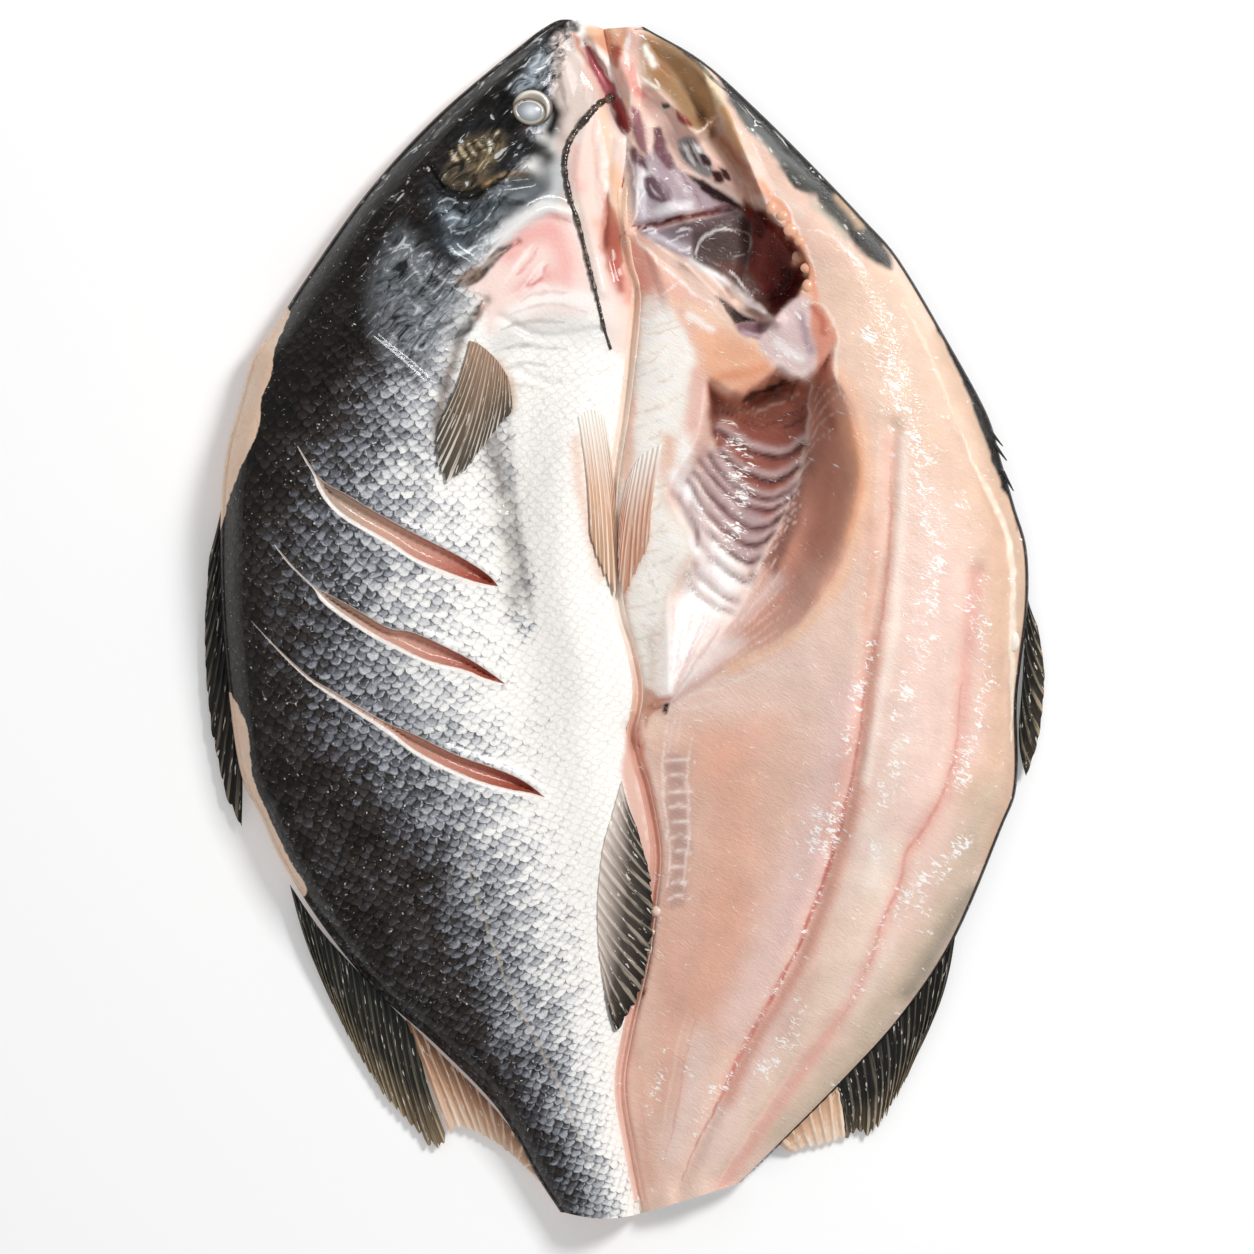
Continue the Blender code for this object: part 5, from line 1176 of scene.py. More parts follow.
# Painted glints: lines f5f2f4 on the lower gill plate.
# Painted glints: the short lines f0efec and d9dbd8 on the black skin at the edge of the head.
# Painted glints: the white lines ffffff, f6f2f4 and f3eff1 on the gill membranes.
# Painted highlight: glow fbf7ef at the left of the jaw hollow.
# Painted shade: line 2a0f0b, glow 9c5f42, area 1c0806 and glow 6a2f22 under the edge of the flap.
OPEN_HEAD_PAINT = strokes("""
area f0c4b2 1 1.5 -3,94.5 4,98.5 7,93.5 16.5,82 29,71 38.5,63 36.5,58.5 29.5,55 22,58 16.5,69.5 11,78 4,79.5
  0.5,77 -3,68.5 -4.5,79.5
area f4bb98 0.85 3 17,75 25,72 34,67 39,62 36,59 30,55 23,59 19,67
glow dc8a62 0.6 1.6 23,59.5 28.5,60.5 35,62
glow eaa985 0.4 2.2 21,62.5 25.5,66.5 32,66.5
glow f8d6bc 0.8 1.2 12,79.5 19,76.5 28,72 35.5,66.5
area e08f80 0.7 2 -0.5,89 4,91.5 8,87.5 7,83 3,81.5 0,83.5
line fde4d8 0.8 0.4 2.5,98.1 4,93.9 7,90.6 11,87.6 16.6,82.1 22.8,76.6 29.6,71 33.6,68.3
area aa979e 1 1 0.5,115 4,114.5 9,117 16.5,110 22,106.5 29.5,102.5 23,101 16.5,100 9,98 3.5,97.5 2,104.5
glow ded7dc 0.8 2.2 5,110 4.5,105 6,101 11,101.5
glow efeaec 0.8 1.2 5,112 4.5,108
glow efeaec 0.8 1.3 9,101.5 13,102.5 16.5,103
area 6a4f59 1 0.7 4.8,110.2 7,110.7 10,108.7 12,105.9 11.8,104.2 9,103.9 6,105.9
line 4a333c 0.8 0.3 4.8,110.2 5.5,107.2 8.5,104.2 11.5,103.9
line d6ced2 0.9 0.25 6,108.9 7.8,106.7 10,104.7
area 5e3641 0.95 0.7 1,117.2 2.5,118.2 4.5,115.2 6,111.7 4,112.7 2,114.2
area 6c404b 0.95 0.7 7,122.2 9.5,122.2 10.8,117.7 13.1,112.7 11.5,112.2 9,114.7 7.5,117.7
area 8b5560 0.9 0.8 1.5,127.8 4,126.8 5.3,122.2 6,115.7 4,117.2 2,122.2
line e9cfc6 1 0.6 4.3,128.8 6,124.2 6.5,119.2 7.5,114.7
line e4c8c0 0.9 0.5 10,122.7 11.5,118.2 13.6,113.2
area e6bfb2 1 0.9 4,130 9,128 15,122.5 20.5,117 26.5,111.5 30,107.5 28.5,105.5 23,109 16.5,111.5 12,117 9,123
  5,127
area a29a99 1 0.7 13.6,119.2 16.1,120.2 20.1,117.2 22.1,112.7 21.1,110.2 17.6,111.7 14.6,114.7
line f3efee 1 0.45 14.6,118.7 16.1,115.7 18.1,112.7
line 3a2a2b 0.9 0.35 15.6,119.2 17.3,116 19.6,112.2
line f3efee 0.9 0.35 16.8,119.2 19.1,116.2 21.1,112.2
line 56454a 0.9 0.4 14.1,117.7 15.6,114.7 17.1,112.7
area 3b1d20 1 0.4 18.6,116.2 20.6,115.7 21.8,113.2 20.1,113.2
area 45191b 1 0.4 21.6,111.7 24.1,111.4 25.1,108.7 22.6,109.2
area 4a1e1e 1 0.4 23.6,112.7 25.9,111.7 26.9,109.2 25.1,109.7
line f1dcd4 0.9 0.35 13.6,111.7 16.6,111.7 20.6,109.7 25.1,107.2 29.6,103.7
area 2a0f11 1 0.5 15.8,110.9 19.6,109.7 24.6,106.4 29.9,102.4 25.6,103.2 20.6,105.9
line 8e6a72 0.9 0.5 14.1,111.2 16.6,107.7 19.6,103.2
line 9d7a82 0.8 0.5 20.6,105.7 24.1,103.7 29.1,102.2
area 7a2a20 1 1.2 30,104.5 33,102.5 36,101 41.5,95.5 45.5,89 45.5,83.5 43,79.5 38,74.5 34,78 30.5,83 30.5,89
  31.5,94.5 29.5,99.5
area 4a0f0a 1 1.8 39,94.5 44,90 45.5,84.5 42,78.5 38,75 35,79.5 39,84.5
glow 94453a 0.7 1.4 32,100.5 35,94.5 34.5,88
glow 9c4a3e 0.6 1.6 38,95.5 41.5,89
area 8a7a82 1 0.8 3.5,96.9 9.5,97.6 19.1,99.6 29.6,101.7 31.1,98.1 30.1,93.1 26.6,89.1 19.1,89.1 15.6,90.1
  11,92.1 6.5,94.1
glow 5c4345 0.8 1.4 15,98 20,98 25,99.5
glow cfc7cd 0.8 1.2 7,95.5 12,93.5 16.5,92
line f5f2f4 0.95 0.35 6.5,96.1 8.5,96.6
line f5f2f4 0.95 0.4 13.1,96.6 15.1,97.1 17.3,96.6
area 5c4a48 1 1 17,96.5 22,98.5 30.5,100.5 32,94.5 31.5,89 28.5,85 24,85.5 19,88 17,91
line b5a9a4 0.95 0.3 16.6,88.6 18.1,92.1 19.6,95.1 22.6,96.6 28.1,96.9 31.1,96.1 31.6,93.1 30.1,91.1 27.6,90.6
  26.1,91.6
area 6a4740 1 1 23,89 29,89 33,84.5 36.5,78 34,76.5 29,81 24.5,85.5
line d9d0cd 1 1.25 16.5,88.5 19.5,87 23,85.5 27,82.5 31.5,79 38,73.5
glow f6f3f2 0.9 0.9 17,89 20,87 23,85.5 25,83.5
line 8d7c78 0.8 0.35 19.1,88.6 23.1,87.1 27.6,84.1 33.1,80.1
area 1c0b0b 1 0.5 22.6,80.3 26.1,78.6 29.6,76.1 33.6,74 29.1,73.3 27.4,73.8 25.6,76.6
area 8a6873 1 0.7 27.6,73.3 33.6,73.8 38.2,74 38.2,71.5 36.1,69 32.1,69.5 28.6,71.5
glow cdb4bb 0.7 0.6 29.6,71.3 33.1,70.5 36.1,71
line 6b1c1c 0.95 0.6 3.3,97.4 9,98.1 16.6,100.1 24.1,101.7 30.1,102.2
line f5d9cf 0.9 0.4 3,98.1 9,99.1 16.6,101.2 23.1,102.4
area a98765 1 1.6 4.5,146 8,146 14,143 19,138 23,132 24.5,128 23,123.5 21,122 17.5,121.5 14,125 11,130 7,133
  5,136.5 4.5,141.5
glow c09c74 0.7 2.6 16,136 18,132 20,127
glow a5744e 0.7 2 6.5,143.5 7.5,140 10,136
glow 8f6240 0.6 1.2 19,124.5 21.5,122.5 23,121
glow 7a6042 0.75 1.6 10,144.5 14.5,142.5 17.5,139 20,135
glow 7d5a3f 0.8 1.2 19,126 20.5,123 22,121
line ead6b6 1 1.3 17.5,141 20.5,137 22.5,132 24.5,127 27,120.5 31,113.5
glow dba872 0.8 1.2 25,127 27,121.5 29,116.5
glow a9623f 0.85 1.5 24.5,119.5 28,115 31,111 33.5,107
line b5805f 0.6 0.5 22.6,120.2 26.6,114.2 31.1,108.7
glow fbf7ef 1 0.9 5.5,142.5 6.5,140 7.5,138.5
line fdf9f2 0.9 0.4 4.3,135.8 6.5,133.3 9.5,131.8
line fdf4ea 0.9 0.3 7.5,134.8 9,132.3
area 8c3431 0.95 0.5 13.1,126.8 15.1,125.2 17.1,123 15.6,122.7 13.6,124.7
line f3e3d0 0.95 0.3 17.1,122.2 18.6,121.2 20.1,122.2 20.8,124.7
area 3f3d3a 1 0.4 9,128.8 11,128.3 11.5,127 9.8,127.3
line e9e4dc 0.9 0.25 8.8,128.3 10,126.8 11.8,127.3
area e6c3b2 1 1.6 23,135 26,130.5 28,125.5 30.5,122 35.5,117.5 39,113.5 42,107.5 45.5,106 49.5,101 53.5,96.5
  60.5,89 56.5,86 48,89.5 44,95.5 41,100.5 36,105 33,112 29.5,122 25.5,130
glow ecd5c8 0.8 1.6 32,114.5 36.5,107.5 44,101
line fdf2ea 0.8 0.35 45.7,96.6 50.2,95.6 55.2,92.1 61.2,85.6
area 3a3935 1 0.9 20,140 23,136.5 25.5,130.5 28,126 30.5,122.5 35.5,118 39,114 42,108 45,106.5 47.5,106
  49.5,101.5 53.5,97 57,93.5 60.5,89.5 67,87 64.5,94.5 56.5,103.5 44,118.5 31.5,131 23,140
glow 74736d 0.7 1.6 29.5,125 34.5,120.5 39.5,115 44,110
line 2b2a27 0.9 0.9 29.5,130 35,124 41.5,117 47,111
line a5a49e 0.8 0.3 28.1,128.8 32.1,124.7 37.6,119.7
area 34322e 1 0.7 40.7,110.7 43.2,110.7 45.7,108.2 46.2,106.7 43.2,107.2
line 75726b 0.8 0.4 33.1,123.2 38.2,118.2 43.7,112.2
area 191817 1 0.8 50.7,107.2 53.2,107.2 53.7,103.7 51.7,103.2
area 191817 1 0.8 54.7,97.6 57.7,97.6 58.7,93.6 56.7,94.6
glow c3a17e 0.8 1.2 53.5,105 56.5,101.5 59,98
line f0efec 0.9 0.25 34.1,122.7 35.1,121.7
line f0efec 0.9 0.25 36.1,117.7 37.1,116.2
line f0efec 0.9 0.3 39.9,113.7 41.2,112.7
line f0efec 0.9 0.3 42.2,110.2 43.2,109.2
line f0efec 0.9 0.3 54.7,98.1 55.7,96.6
line 2a0f0b 1 0.9 29.5,54.5 32,56.5 35,58.5 38,60.5
glow 9c5f42 0.8 1.4 28,54 33,56 40,59.5
area d3866f 0.85 1.4 45.5,79 48.5,78 51,74.5 53,69.5 52,64 51.5,58.5 48.5,59.5 47.5,67 46,73.5
area dfc6c4 1 0.9 41.5,79 45.5,80 47,76.5 46,71 48,65.5 46.5,59.5 43.5,60 39.5,61.5 36,65 33.5,69 37,73.5
glow aa8e96 0.8 1.3 44,75 45.5,70 47,66.5
glow f7efee 0.9 1.2 38.5,68.5 41.5,66 44.5,64.5
line fffdfb 0.9 0.35 42.7,76.1 44.2,74.5
glow f3dcd4 0.8 1.2 38,63.5 41.5,61 45.5,60
glow ee9a88 0.7 2 2,93 4,89 5,84
glow e9b0a0 0.7 2 4,89 8,84.5 13,80.5
line fff0e8 0.8 0.35 4,79.6 9.5,80.6 13.6,83.6
glow f7e6de 0.8 2.2 1,72 4,75.5 9,78
glow d58e76 0.6 1.6 28,55.5 32,58 37,59.5
glow fff6f0 0.9 1 16.5,75.5 22,72
line fff8f4 0.9 0.3 7.8,89.1 11,86.6 16.6,81.6 20.1,78.6
area 5c1d17 0.9 0.7 32.1,101.7 35.1,101.2 36.1,98.1 34.6,94.6 32.6,96.6
glow 6e1f18 0.8 1 40.5,96.5 44,90.5 44.5,85.5
glow eba685 0.9 1 34.5,108.5 36.5,105.5 40,101.5 42,96.5 45.5,91 47,84.5 47.5,79.5
line fff4ec 0.9 0.4 37.6,105.7 40.7,102.7 42.7,97.6 44.2,94.6 46.7,90.1 47.9,83.6
glow b5604b 0.7 1 47,77.5 49,75 50,71
line f8e0cf 0.9 0.45 44.2,79.1 48.7,78.3 51.5,74.5 53.5,69 52.7,63.5 53,58 55.7,53.5
area 6f7170 0.8 1.6 32,129 38,121.5 44,114 49,108.5 45.5,109 40.5,113 35.5,118.5 30.5,124
area 161513 0.95 0.9 23,139.5 34,129 44,119 53,109 49.5,108 44,113 36.5,120 28,130
line 12100f 1 0.55 44.2,118.2 49.7,112.2 54.2,107.2 59.7,101.2 65.3,94.1 70.8,87.1
line 191715 1 0.6 3,147.6 8.5,146.1 12.6,143.8 16.6,140.3 20.1,136.8 23.6,133.3 28.1,129.3
glow 4a4a46 0.9 1.6 40.5,112.5 44,109.5 47,106.5
glow bdb5a6 0.7 1.2 47,103.5 51.5,99 55.5,94.5
line d9dbd8 0.8 0.16 30.1,127.8 31.6,126 33.4,124.5
line d9dbd8 0.8 0.16 37.6,121.7 39.2,120 41.2,117.7
line 742c2c 0.95 0.6 2.3,97.9 7.8,98.6 12,99.6 19.1,101.2 24.6,102.7 29.6,102.4
line 5a2022 0.8 0.35 2.5,97.9 7.8,98.6 12,99.6 19.1,101.2
line ffffff 0.9 0.35 4.3,96.6 6.5,97.4 8.5,97.1
line ffffff 0.85 0.3 11,94.1 13.1,94.6 15.6,95.6
line f6f2f4 0.85 0.35 13.1,91.6 15.1,92.1 17.1,93.1
line f3eff1 0.8 0.4 18.6,89.1 18.1,92.1 19.6,94.6 22.3,96.1 25.9,96.9 28.9,95.9
line ffffff 0.85 0.3 26.1,87.6 28.6,84.6 32.1,80.6
line ffffff 0.8 0.3 5,106.7 4,104.2 4.3,101.7
line fff6f0 0.85 0.35 1,117.2 2,112.2 3.3,105.7 3,100.7 2.3,98.6
line fff0e6 0.8 0.4 2.5,96.6 4.3,93.1 7,91.1 9,87.1
area 1c0806 0.95 0.3 29.1,54 31.4,55.7 34.6,57.2 39.7,59.2 41.7,59 37.9,57.2 34.6,55.7 31.6,53.7
glow 6a2f22 0.8 0.9 32,53.5 37,56 43,58.5
""")

# A row of fat lobes down the gill chamber's edge: place and size. Each gets a small painted
# highlight just off its middle.
LOBES = [
    (37.1, 101.7, 2), (40.4, 99.1, 2.6), (41.7, 95.4, 2.6), (44.2, 92.9, 2.2), (43.2, 89.1, 2.8),
    (45.7, 85.8, 2.4), (45.4, 81.6, 3),
]
for px, py, size in LOBES:
    OPEN_HEAD_PAINT.append(("glow", "#eda27f", 1, 0.42 * size, [(px, py), (px + 0.4, py + 0.4)]))
    OPEN_HEAD_PAINT.append(("glow", "#fbe9dd", 0.8, 0.2 * size, [(px - 0.5, py), (px - 0.3, py + 0.5)]))

# Painted light: glow eec0ae lifts the shade in the valley of the seam.
SEAM_PAINT = strokes("""
glow eec0ae 0.8 1.3 2,54.5 1,37 0.5,19.5 -0.5,4.5 1,-11 2,-25
glow dd9c8b 0.9 1.6 2,-25 4,-36 6.5,-46 8,-58.5 6.5,-71 5,-86 2.5,-96 1,-106 -0.5,-116 0.5,-129 2.5,-144
line c25f52 0.85 0.6 1,-30.9 4,-43.4 6.5,-58.5 6,-72.3 4.8,-85.6 1.5,-101.2 -0.5,-117.5 1,-131.3 3,-145.3
line e9cfc4 0.8 0.8 4,-28.4 7,-38.4 9.5,-53.5 9,-71 7.5,-83.6
glow e3b29f 0.7 1.6 2,-106 4,-116 5,-129 6.5,-141.5
area 5a1d16 1 0.4 -1,4.8 0,4.3 -0.3,2.3 -1.3,2.8
area 3d130f 1 0.4 10,-21.6 11.3,-22.1 10.8,-24.3 9.8,-23.8
area 1d0d0a 1 0.4 4.3,-89.6 5.3,-89.9 5.3,-91.1 4.3,-91.1
area 8e3428 1 0.5 3.5,-92.9 5,-93.4 5,-95.1 3.8,-94.9
""")


def raw_flesh():
    """Raw bass fillet: soft wet muscle, faintly clouded, with fibres that lie across the fish.
    Light sinks in a little, and the film of water shows as short painted white glints."""
    material, node = new_material("wet raw bass flesh")
    grain = node("UVMap", {"uv_map": "grain"})
    place = node("TexCoord").outputs["Object"]
    tint = node("Attribute", {"attribute_name": "tint"})
    wet = node("Attribute", {"attribute_name": "wet"}).outputs["Fac"]
    along = node("VectorMath", TIMES, i0=grain, i1=(0.16, 1.1, 1))
    fibre = node("TexNoise", FLAT, Vector=along, Scale=1, Detail=4, Roughness=0.6, Distortion=0.5)
    cloud = node("TexNoise", Vector=place, Scale=130, Detail=4, Roughness=0.6)
    mottle = node("MapRange", Value=cloud, From_Min=0.3, From_Max=0.7, To_Min=0.96, To_Max=1.12)
    strand = node("MapRange", Value=fibre, From_Min=0.3, From_Max=0.7, To_Min=0.985, To_Max=1.02)
    light = node("Math", TIMES, i0=mottle, i1=strand)
    base = node("VectorMath", {"operation": "SCALE"}, i0=tint.outputs["Color"], Scale=light)
    # Painted white glints, each in a soft painted halo, where water stands on the ripples: short
    # strokes, about 2 mm by 0.4 mm.
    stroke = node("VectorMath", TIMES, i0=grain, i1=(0.5, 1.2, 1))
    ripple = node("TexNoise", FLAT, Vector=stroke, Scale=1, Detail=2, Roughness=0.6, Distortion=0.9)
    clump = node("TexNoise", Vector=place, Scale=210, Detail=2)
    wanted = node("MapRange", Value=wet, From_Min=0, From_Max=1, To_Min=1.52, To_Max=1.04)
    glint = node("Math", TIMES_PLUS, i0=clump, i1=0.5, i2=-0.25)
    glint = node("Math", PLUS, i0=glint, i1=ripple)
    glint = node("Math", TIMES_PLUS, i0=glint, i1=2.0, i2=node("Math", TIMES, i0=wanted, i1=-1.0))
    halo = node("MapRange", SMOOTH, Value=glint, From_Min=-0.14, From_Max=0.1, To_Min=0, To_Max=0.35)
    glint = node("MapRange", SMOOTH, Value=glint, From_Min=0.03, From_Max=0.11, To_Min=0, To_Max=0.95)
    glint = node("Math", {"operation": "MAXIMUM"}, i0=halo, i1=glint)
    base = node("Mix", RGBA, Factor=glint, A=base, B=linear("#fffcf8"))
    relief = node("Bump", Strength=0.35, Distance=0.0005, Height=ripple)
    relief = node("Bump", Strength=0.15, Distance=0.0003, Height=fibre, Normal=relief)
    # Where black skin shows it is creased, so that it breaks the light into sharp glints.
    pale = node("RGBToBW", Color=tint.outputs["Color"])
    crease = node("TexNoise", Vector=place, Scale=480, Detail=5, Roughness=0.6, Distortion=0.8)
    creased = node("MapRange", Value=pale, From_Min=0.12, From_Max=0.02, To_Min=0.0, To_Max=1.0)
    relief = node("Bump", Strength=creased, Distance=0.0012, Height=crease, Normal=relief)
    satin = node("MapRange", Value=pale, From_Min=0.02, From_Max=0.25, To_Min=0.12, To_Max=0.4)
    shader = node(
        "BsdfPrincipled", Base_Color=base, Roughness=satin, Normal=relief, Coat_Normal=relief,
        Specular_IOR_Level=0.2, Coat_Weight=0.25, Coat_Roughness=0.05, Subsurface_Weight=0.12,
        Subsurface_Radius=(0.004, 0.0015, 0.0008), Subsurface_Scale=1.0,
    )
    node("OutputMaterial", Surface=shader)
    return material


GRAIN_LEAN = math.radians(28)
WALL_FAN = (10.8, -21.8)


def dress_flesh(piece, x, y, tint, wet):
    """Gives a piece the grain map and values of the flesh. The grain lies across the fish, with a
    lean, and fans out from the tail end of the belly cavity on its side wall."""
    u = x * math.cos(GRAIN_LEAN) - y * math.sin(GRAIN_LEAN)
    v = x * math.sin(GRAIN_LEAN) + y * math.cos(GRAIN_LEAN)
    from_x, from_y = x - WALL_FAN[0], y - WALL_FAN[1]
    radius, angle = np.hypot(from_x, from_y), np.arctan2(from_y, from_x)
    on_wall = depth_inside(x, y, CAVITY, 3) > 0
    u, v = np.where(on_wall, angle * 45, u), np.where(on_wall, radius, v)
    lay_map(piece, "grain", u.ravel(), v.ravel())
    note(piece, "tint", tint)
    note(piece, "wet", wet.ravel())


FLESH = raw_flesh()

# Where water stands, and so where the painted glints show: strength, half breadth and line of
# each band.
WET_GLINT_BANDS = [
    (1.0, 2.8, [(61.2, 70.8), (65.3, 62), (68.8, 53.2), (71.8, 44.4), (73.8, 36.9)]),
    (1.0, 3.6, [(73.8, 36.9), (75.3, 28.1), (78.3, 18.1), (76.8, 9.3)]),
    (0.85, 4.0, [(75.6, 6.8), (74.3, -5.8), (70.5, -18.3)]),
    (0.7, 1.8, [(58.7, 69.5), (62.2, 61.5), (65.3, 52), (66.5, 41.9)]),
    (0.75, 3.4, [(70.5, -18.3), (68, -35.9), (65.5, -45.9)]),
    (1.0, 3.0, [(47.9, -49.7), (49.2, -53), (47.2, -56.5)]),
    (0.8, 3.0, [(53.7, -43.4), (50.7, -58.5), (45.7, -66)]),
    (1.15, 2.0, [(61.7, -56.5), (62.8, -60.5)]),
    (0.7, 1.2, [(84.8, 31.9), (85.8, 24.3), (86.8, 14.3)]),
    (0.75, 3.0, [(86.3, 4.3), (90.6, -10.8), (88.1, -28.4), (81.8, -43.4)]),
    (1.0, 2.4, [(85.8, -55.5), (79.3, -61.5), (72.3, -67), (68.3, -74)]),
    (0.9, 1.4, [(81.3, -63), (75.6, -69), (69.8, -75.6)]),
    (0.8, 1.0, [(57, -39.7), (53, -56), (49.2, -68), (42.9, -83.6), (36.1, -96.6), (29.1, -109.4),
        (24.6, -119.7)]),
    (0.65, 1.0, [(68.5, -67.3), (64.3, -76.6), (58.7, -93.1), (53, -101.7)]),
    (0.7, 3.0, [(44.2, -98.6), (40.4, -106.2), (35.4, -113.7)]),
    (0.7, 2.8, [(61.7, -5.8), (58.7, -18.3), (55.5, -33.4)]),
    (0.7, 2.4, [(64.3, 79.6), (70.5, 69.5)]),
    (0.6, 3.0, [(19.1, -126.3), (22.8, -116.2)]),
    (0.9, 3.5, [(27.9, 44.4), (29.6, 29.4), (24.1, 14.3)]),
    (0.9, 2.6, [(16.6, 9.3), (19.1, -0.8), (24.1, 4.3)]),
    (0.9, 2.6, [(4, 74.5), (7.8, 67), (6.5, 59.5)]),
    (0.8, 2.4, [(11, 62), (13.1, 54.5), (11.5, 46.9)]),
    (0.7, 1.8, [(6.5, 14.3), (4.5, 1.8), (6.5, -10.8)]),
    (0.9, 2.0, [(23.1, 17.3), (25.6, 10.5), (24.1, 4.3)]),
    (0.7, 3.0, [(36.6, 67), (41.7, 65)]),
    (0.6, 2.0, [(11.5, -98.6), (10, -111.2), (6.5, -123.7)]),
]


def wet_glint_amount(x, y):
    """How much painted glint shows where the water stands: a bell across each band."""
    bands = [power * bell(x, y, line, breadth, spans=3) for power, breadth, line in WET_GLINT_BANDS]
    return np.clip(0.02 + np.max(bands, axis=0), 0, 1.15)


# Flesh covers the top and the face at the hinge, and skin the wall and the underside.
flesh_rings = half_rings(RIGHT_EDGE, 0)
strips = np.where(np.arange(AROUND) < TOP_COLUMNS, 0, 1)
strips[-1] = 0
flesh_side = loft("flesh_side", flesh_rings, EDGE_COLUMN, slots=strips, cap_slot=0)
x, y = flesh_rings[..., 0], flesh_rings[..., 1]
canvas = np.tile(linear("#eccdbd"), (x.size, 1))
tint = paint(x, y, FLESH_PAINT + HEAD_PAINT + OPEN_HEAD_PAINT + SEAM_PAINT, canvas)
tint.reshape(*x.shape, 4)[:, TOP_COLUMNS:-1] = 0
dress_flesh(flesh_side, x, y, tint, wet_glint_amount(x, y))
hinge, edge = guide_x(HINGE, y), guide_x(RIGHT_EDGE, y)
pigment = np.clip(1.9 * (x - hinge) / (edge - hinge) - 0.25, 0, 1.7) * ramp(-142, -128, y)
dress_skin(
    flesh_side, flesh_rings, pigment=pigment.ravel(), scaly=ramp(128, 96, y - 0.35 * x).ravel(),
    bald=np.zeros(x.size), slash=np.tile([NO_CUT, -NO_CUT, 0, 1], (x.size, 1)), rim=np.full(x.size, -6.0),
)
flesh_side.data.materials.append(FLESH)
flesh_side.data.materials.append(SKIN)
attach(flesh_side, "root")
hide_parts("sea_bass")

# The skin half's underside is bare flesh too.
x, y = skin_rings[..., 0], skin_rings[..., 1]
lay_map(skin_side, "grain", (x + 0.5 * y).ravel(), (y - 0.5 * x).ravel())
note(skin_side, "wet", np.zeros(x.size))
skin_side.data.materials.append(FLESH)


# ---- Eye -------------------------------------------------------------------------------------
# A pearly cream ring of iris round a lens gone blue-white, as in a fish some days on ice. Both
# are low closed domes set into the socket.

EYE_PLACE, EYE_RADII = np.array([-23.1, 127.3]), np.array([5.0, 4.6])
LENS_PLACE, LENS_RADII = np.array([-23.8, 126.1]), np.array([3.8, 2.95])
# Height over the socket at shares of the radii, from the middle over the rim and back below.
IRIS_PROFILE = [
    (0.02, 0.2), (0.5, 0.3), (0.66, 0.8), (0.8, 1.3), (0.93, 1.0), (1.0, 0.2), (1.02, -1.0), (0.5, -1.6),
    (0.02, -1.6),
]
LENS_PROFILE = [(0.02, 1.75), (0.4, 1.6), (0.75, 1.2), (0.97, 0.6), (1.0, 0.2), (0.97, -0.6), (0.02, -0.8)]


def dome(name, centre, radii, base, profile, around=72):
    """A closed turned form: at share r of its radii it stands at height z, for each (r, z) of the
    profile, from near the middle over the rim and back below."""
    line = smooth_line(profile, 5)
    turn = np.linspace(0, 2 * math.pi, around, endpoint=False)
    x = centre[0] + radii[0] * line[:, :1] * np.cos(turn)
    y = centre[1] + radii[1] * line[:, :1] * np.sin(turn)
    rings = np.stack([x, y, base + line[:, 1:] + 0 * x], axis=-1)
    return loft(name, rings, around // 2), rings


def wet_surface(name, relief, coat):
    """A smooth wet surface coloured by its own paint, clouded by fine grain: gristle, lining, eye."""
    material, node = new_material(name)
    tint = node("Attribute", {"attribute_name": "tint"})
    place = node("TexCoord").outputs["Object"]
    cloud = node("TexNoise", Vector=place, Scale=350, Detail=4, Roughness=0.6)
    light = node("MapRange", Value=cloud, From_Min=0.3, From_Max=0.7, To_Min=0.9, To_Max=1.08)
    base = node("VectorMath", {"operation": "SCALE"}, i0=tint.outputs["Color"], Scale=light)
    bump = node("Bump", Strength=relief, Distance=0.0004, Height=cloud)
    shader = node(
        "BsdfPrincipled", Base_Color=base, Roughness=0.3, Normal=bump, Coat_Weight=coat,
        Coat_Roughness=0.06,
    )
    node("OutputMaterial", Surface=shader)
    return material


def finish_piece(piece, material):
    """Material, body and slot of a small piece."""
    piece.data.materials.append(material)
    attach(piece, "root")


def height_at(places):
    """Height of the finished body under each place."""
    x, y = np.array(places, float).T
    return np.clip(add_forms(x, y, carve_openings(x, y, uncut_height(x, y))), 0, HIGHEST)


EYE_FINISH = wet_surface("wet clouded eye", 0.15, 1.0)
socket = height_at([EYE_PLACE])[0]

# The iris is dark at both rims, with a painted highlight in the middle of its ring towards the lamp.
iris, rings = dome("eye_ring", EYE_PLACE, EYE_RADII, socket, IRIS_PROFILE)
places = rings[..., :2].reshape(-1, 2)
across, along = ((places - EYE_PLACE) / EYE_RADII).T
away = np.hypot(across, along)
to_lens = np.hypot(*((places - LENS_PLACE) / (3.9, 3.1)).T)
canvas = np.tile(linear("#b3a898"), (len(places), 1))
for code, mask in (
    ("#efe9df", np.exp(-(((away - 0.82) / 0.12) ** 2)) * ramp(-0.6, 0.7, across + along)),
    ("#4a443d", ramp(0.9, 0.99, away)),
    ("#3c3833", 0.9 * np.exp(-(((to_lens - 1.1) / 0.09) ** 2))),
):
    canvas = lay_over(canvas, code, mask)
note(iris, "tint", canvas)
finish_piece(iris, EYE_FINISH)

# The lens is cloudy and has a pale rim, with a painted highlight a little off its middle.
lens, rings = dome("eye_lens", LENS_PLACE, LENS_RADII, socket, LENS_PROFILE)
places = rings[..., :2].reshape(-1, 2)
to_highlight = np.hypot(*((places - LENS_PLACE - (0.5, 0.3)) / LENS_RADII).T)
to_middle = np.hypot(*((places - LENS_PLACE) / LENS_RADII).T)
canvas = np.tile(linear("#7d868f"), (len(places), 1))
canvas = lay_over(canvas, "#dfe2e6", np.exp(-((to_highlight / 0.55) ** 2)))
note(lens, "tint", lay_over(canvas, "#e9e2d6", ramp(0.84, 0.95, to_middle)))
finish_piece(lens, EYE_FINISH)


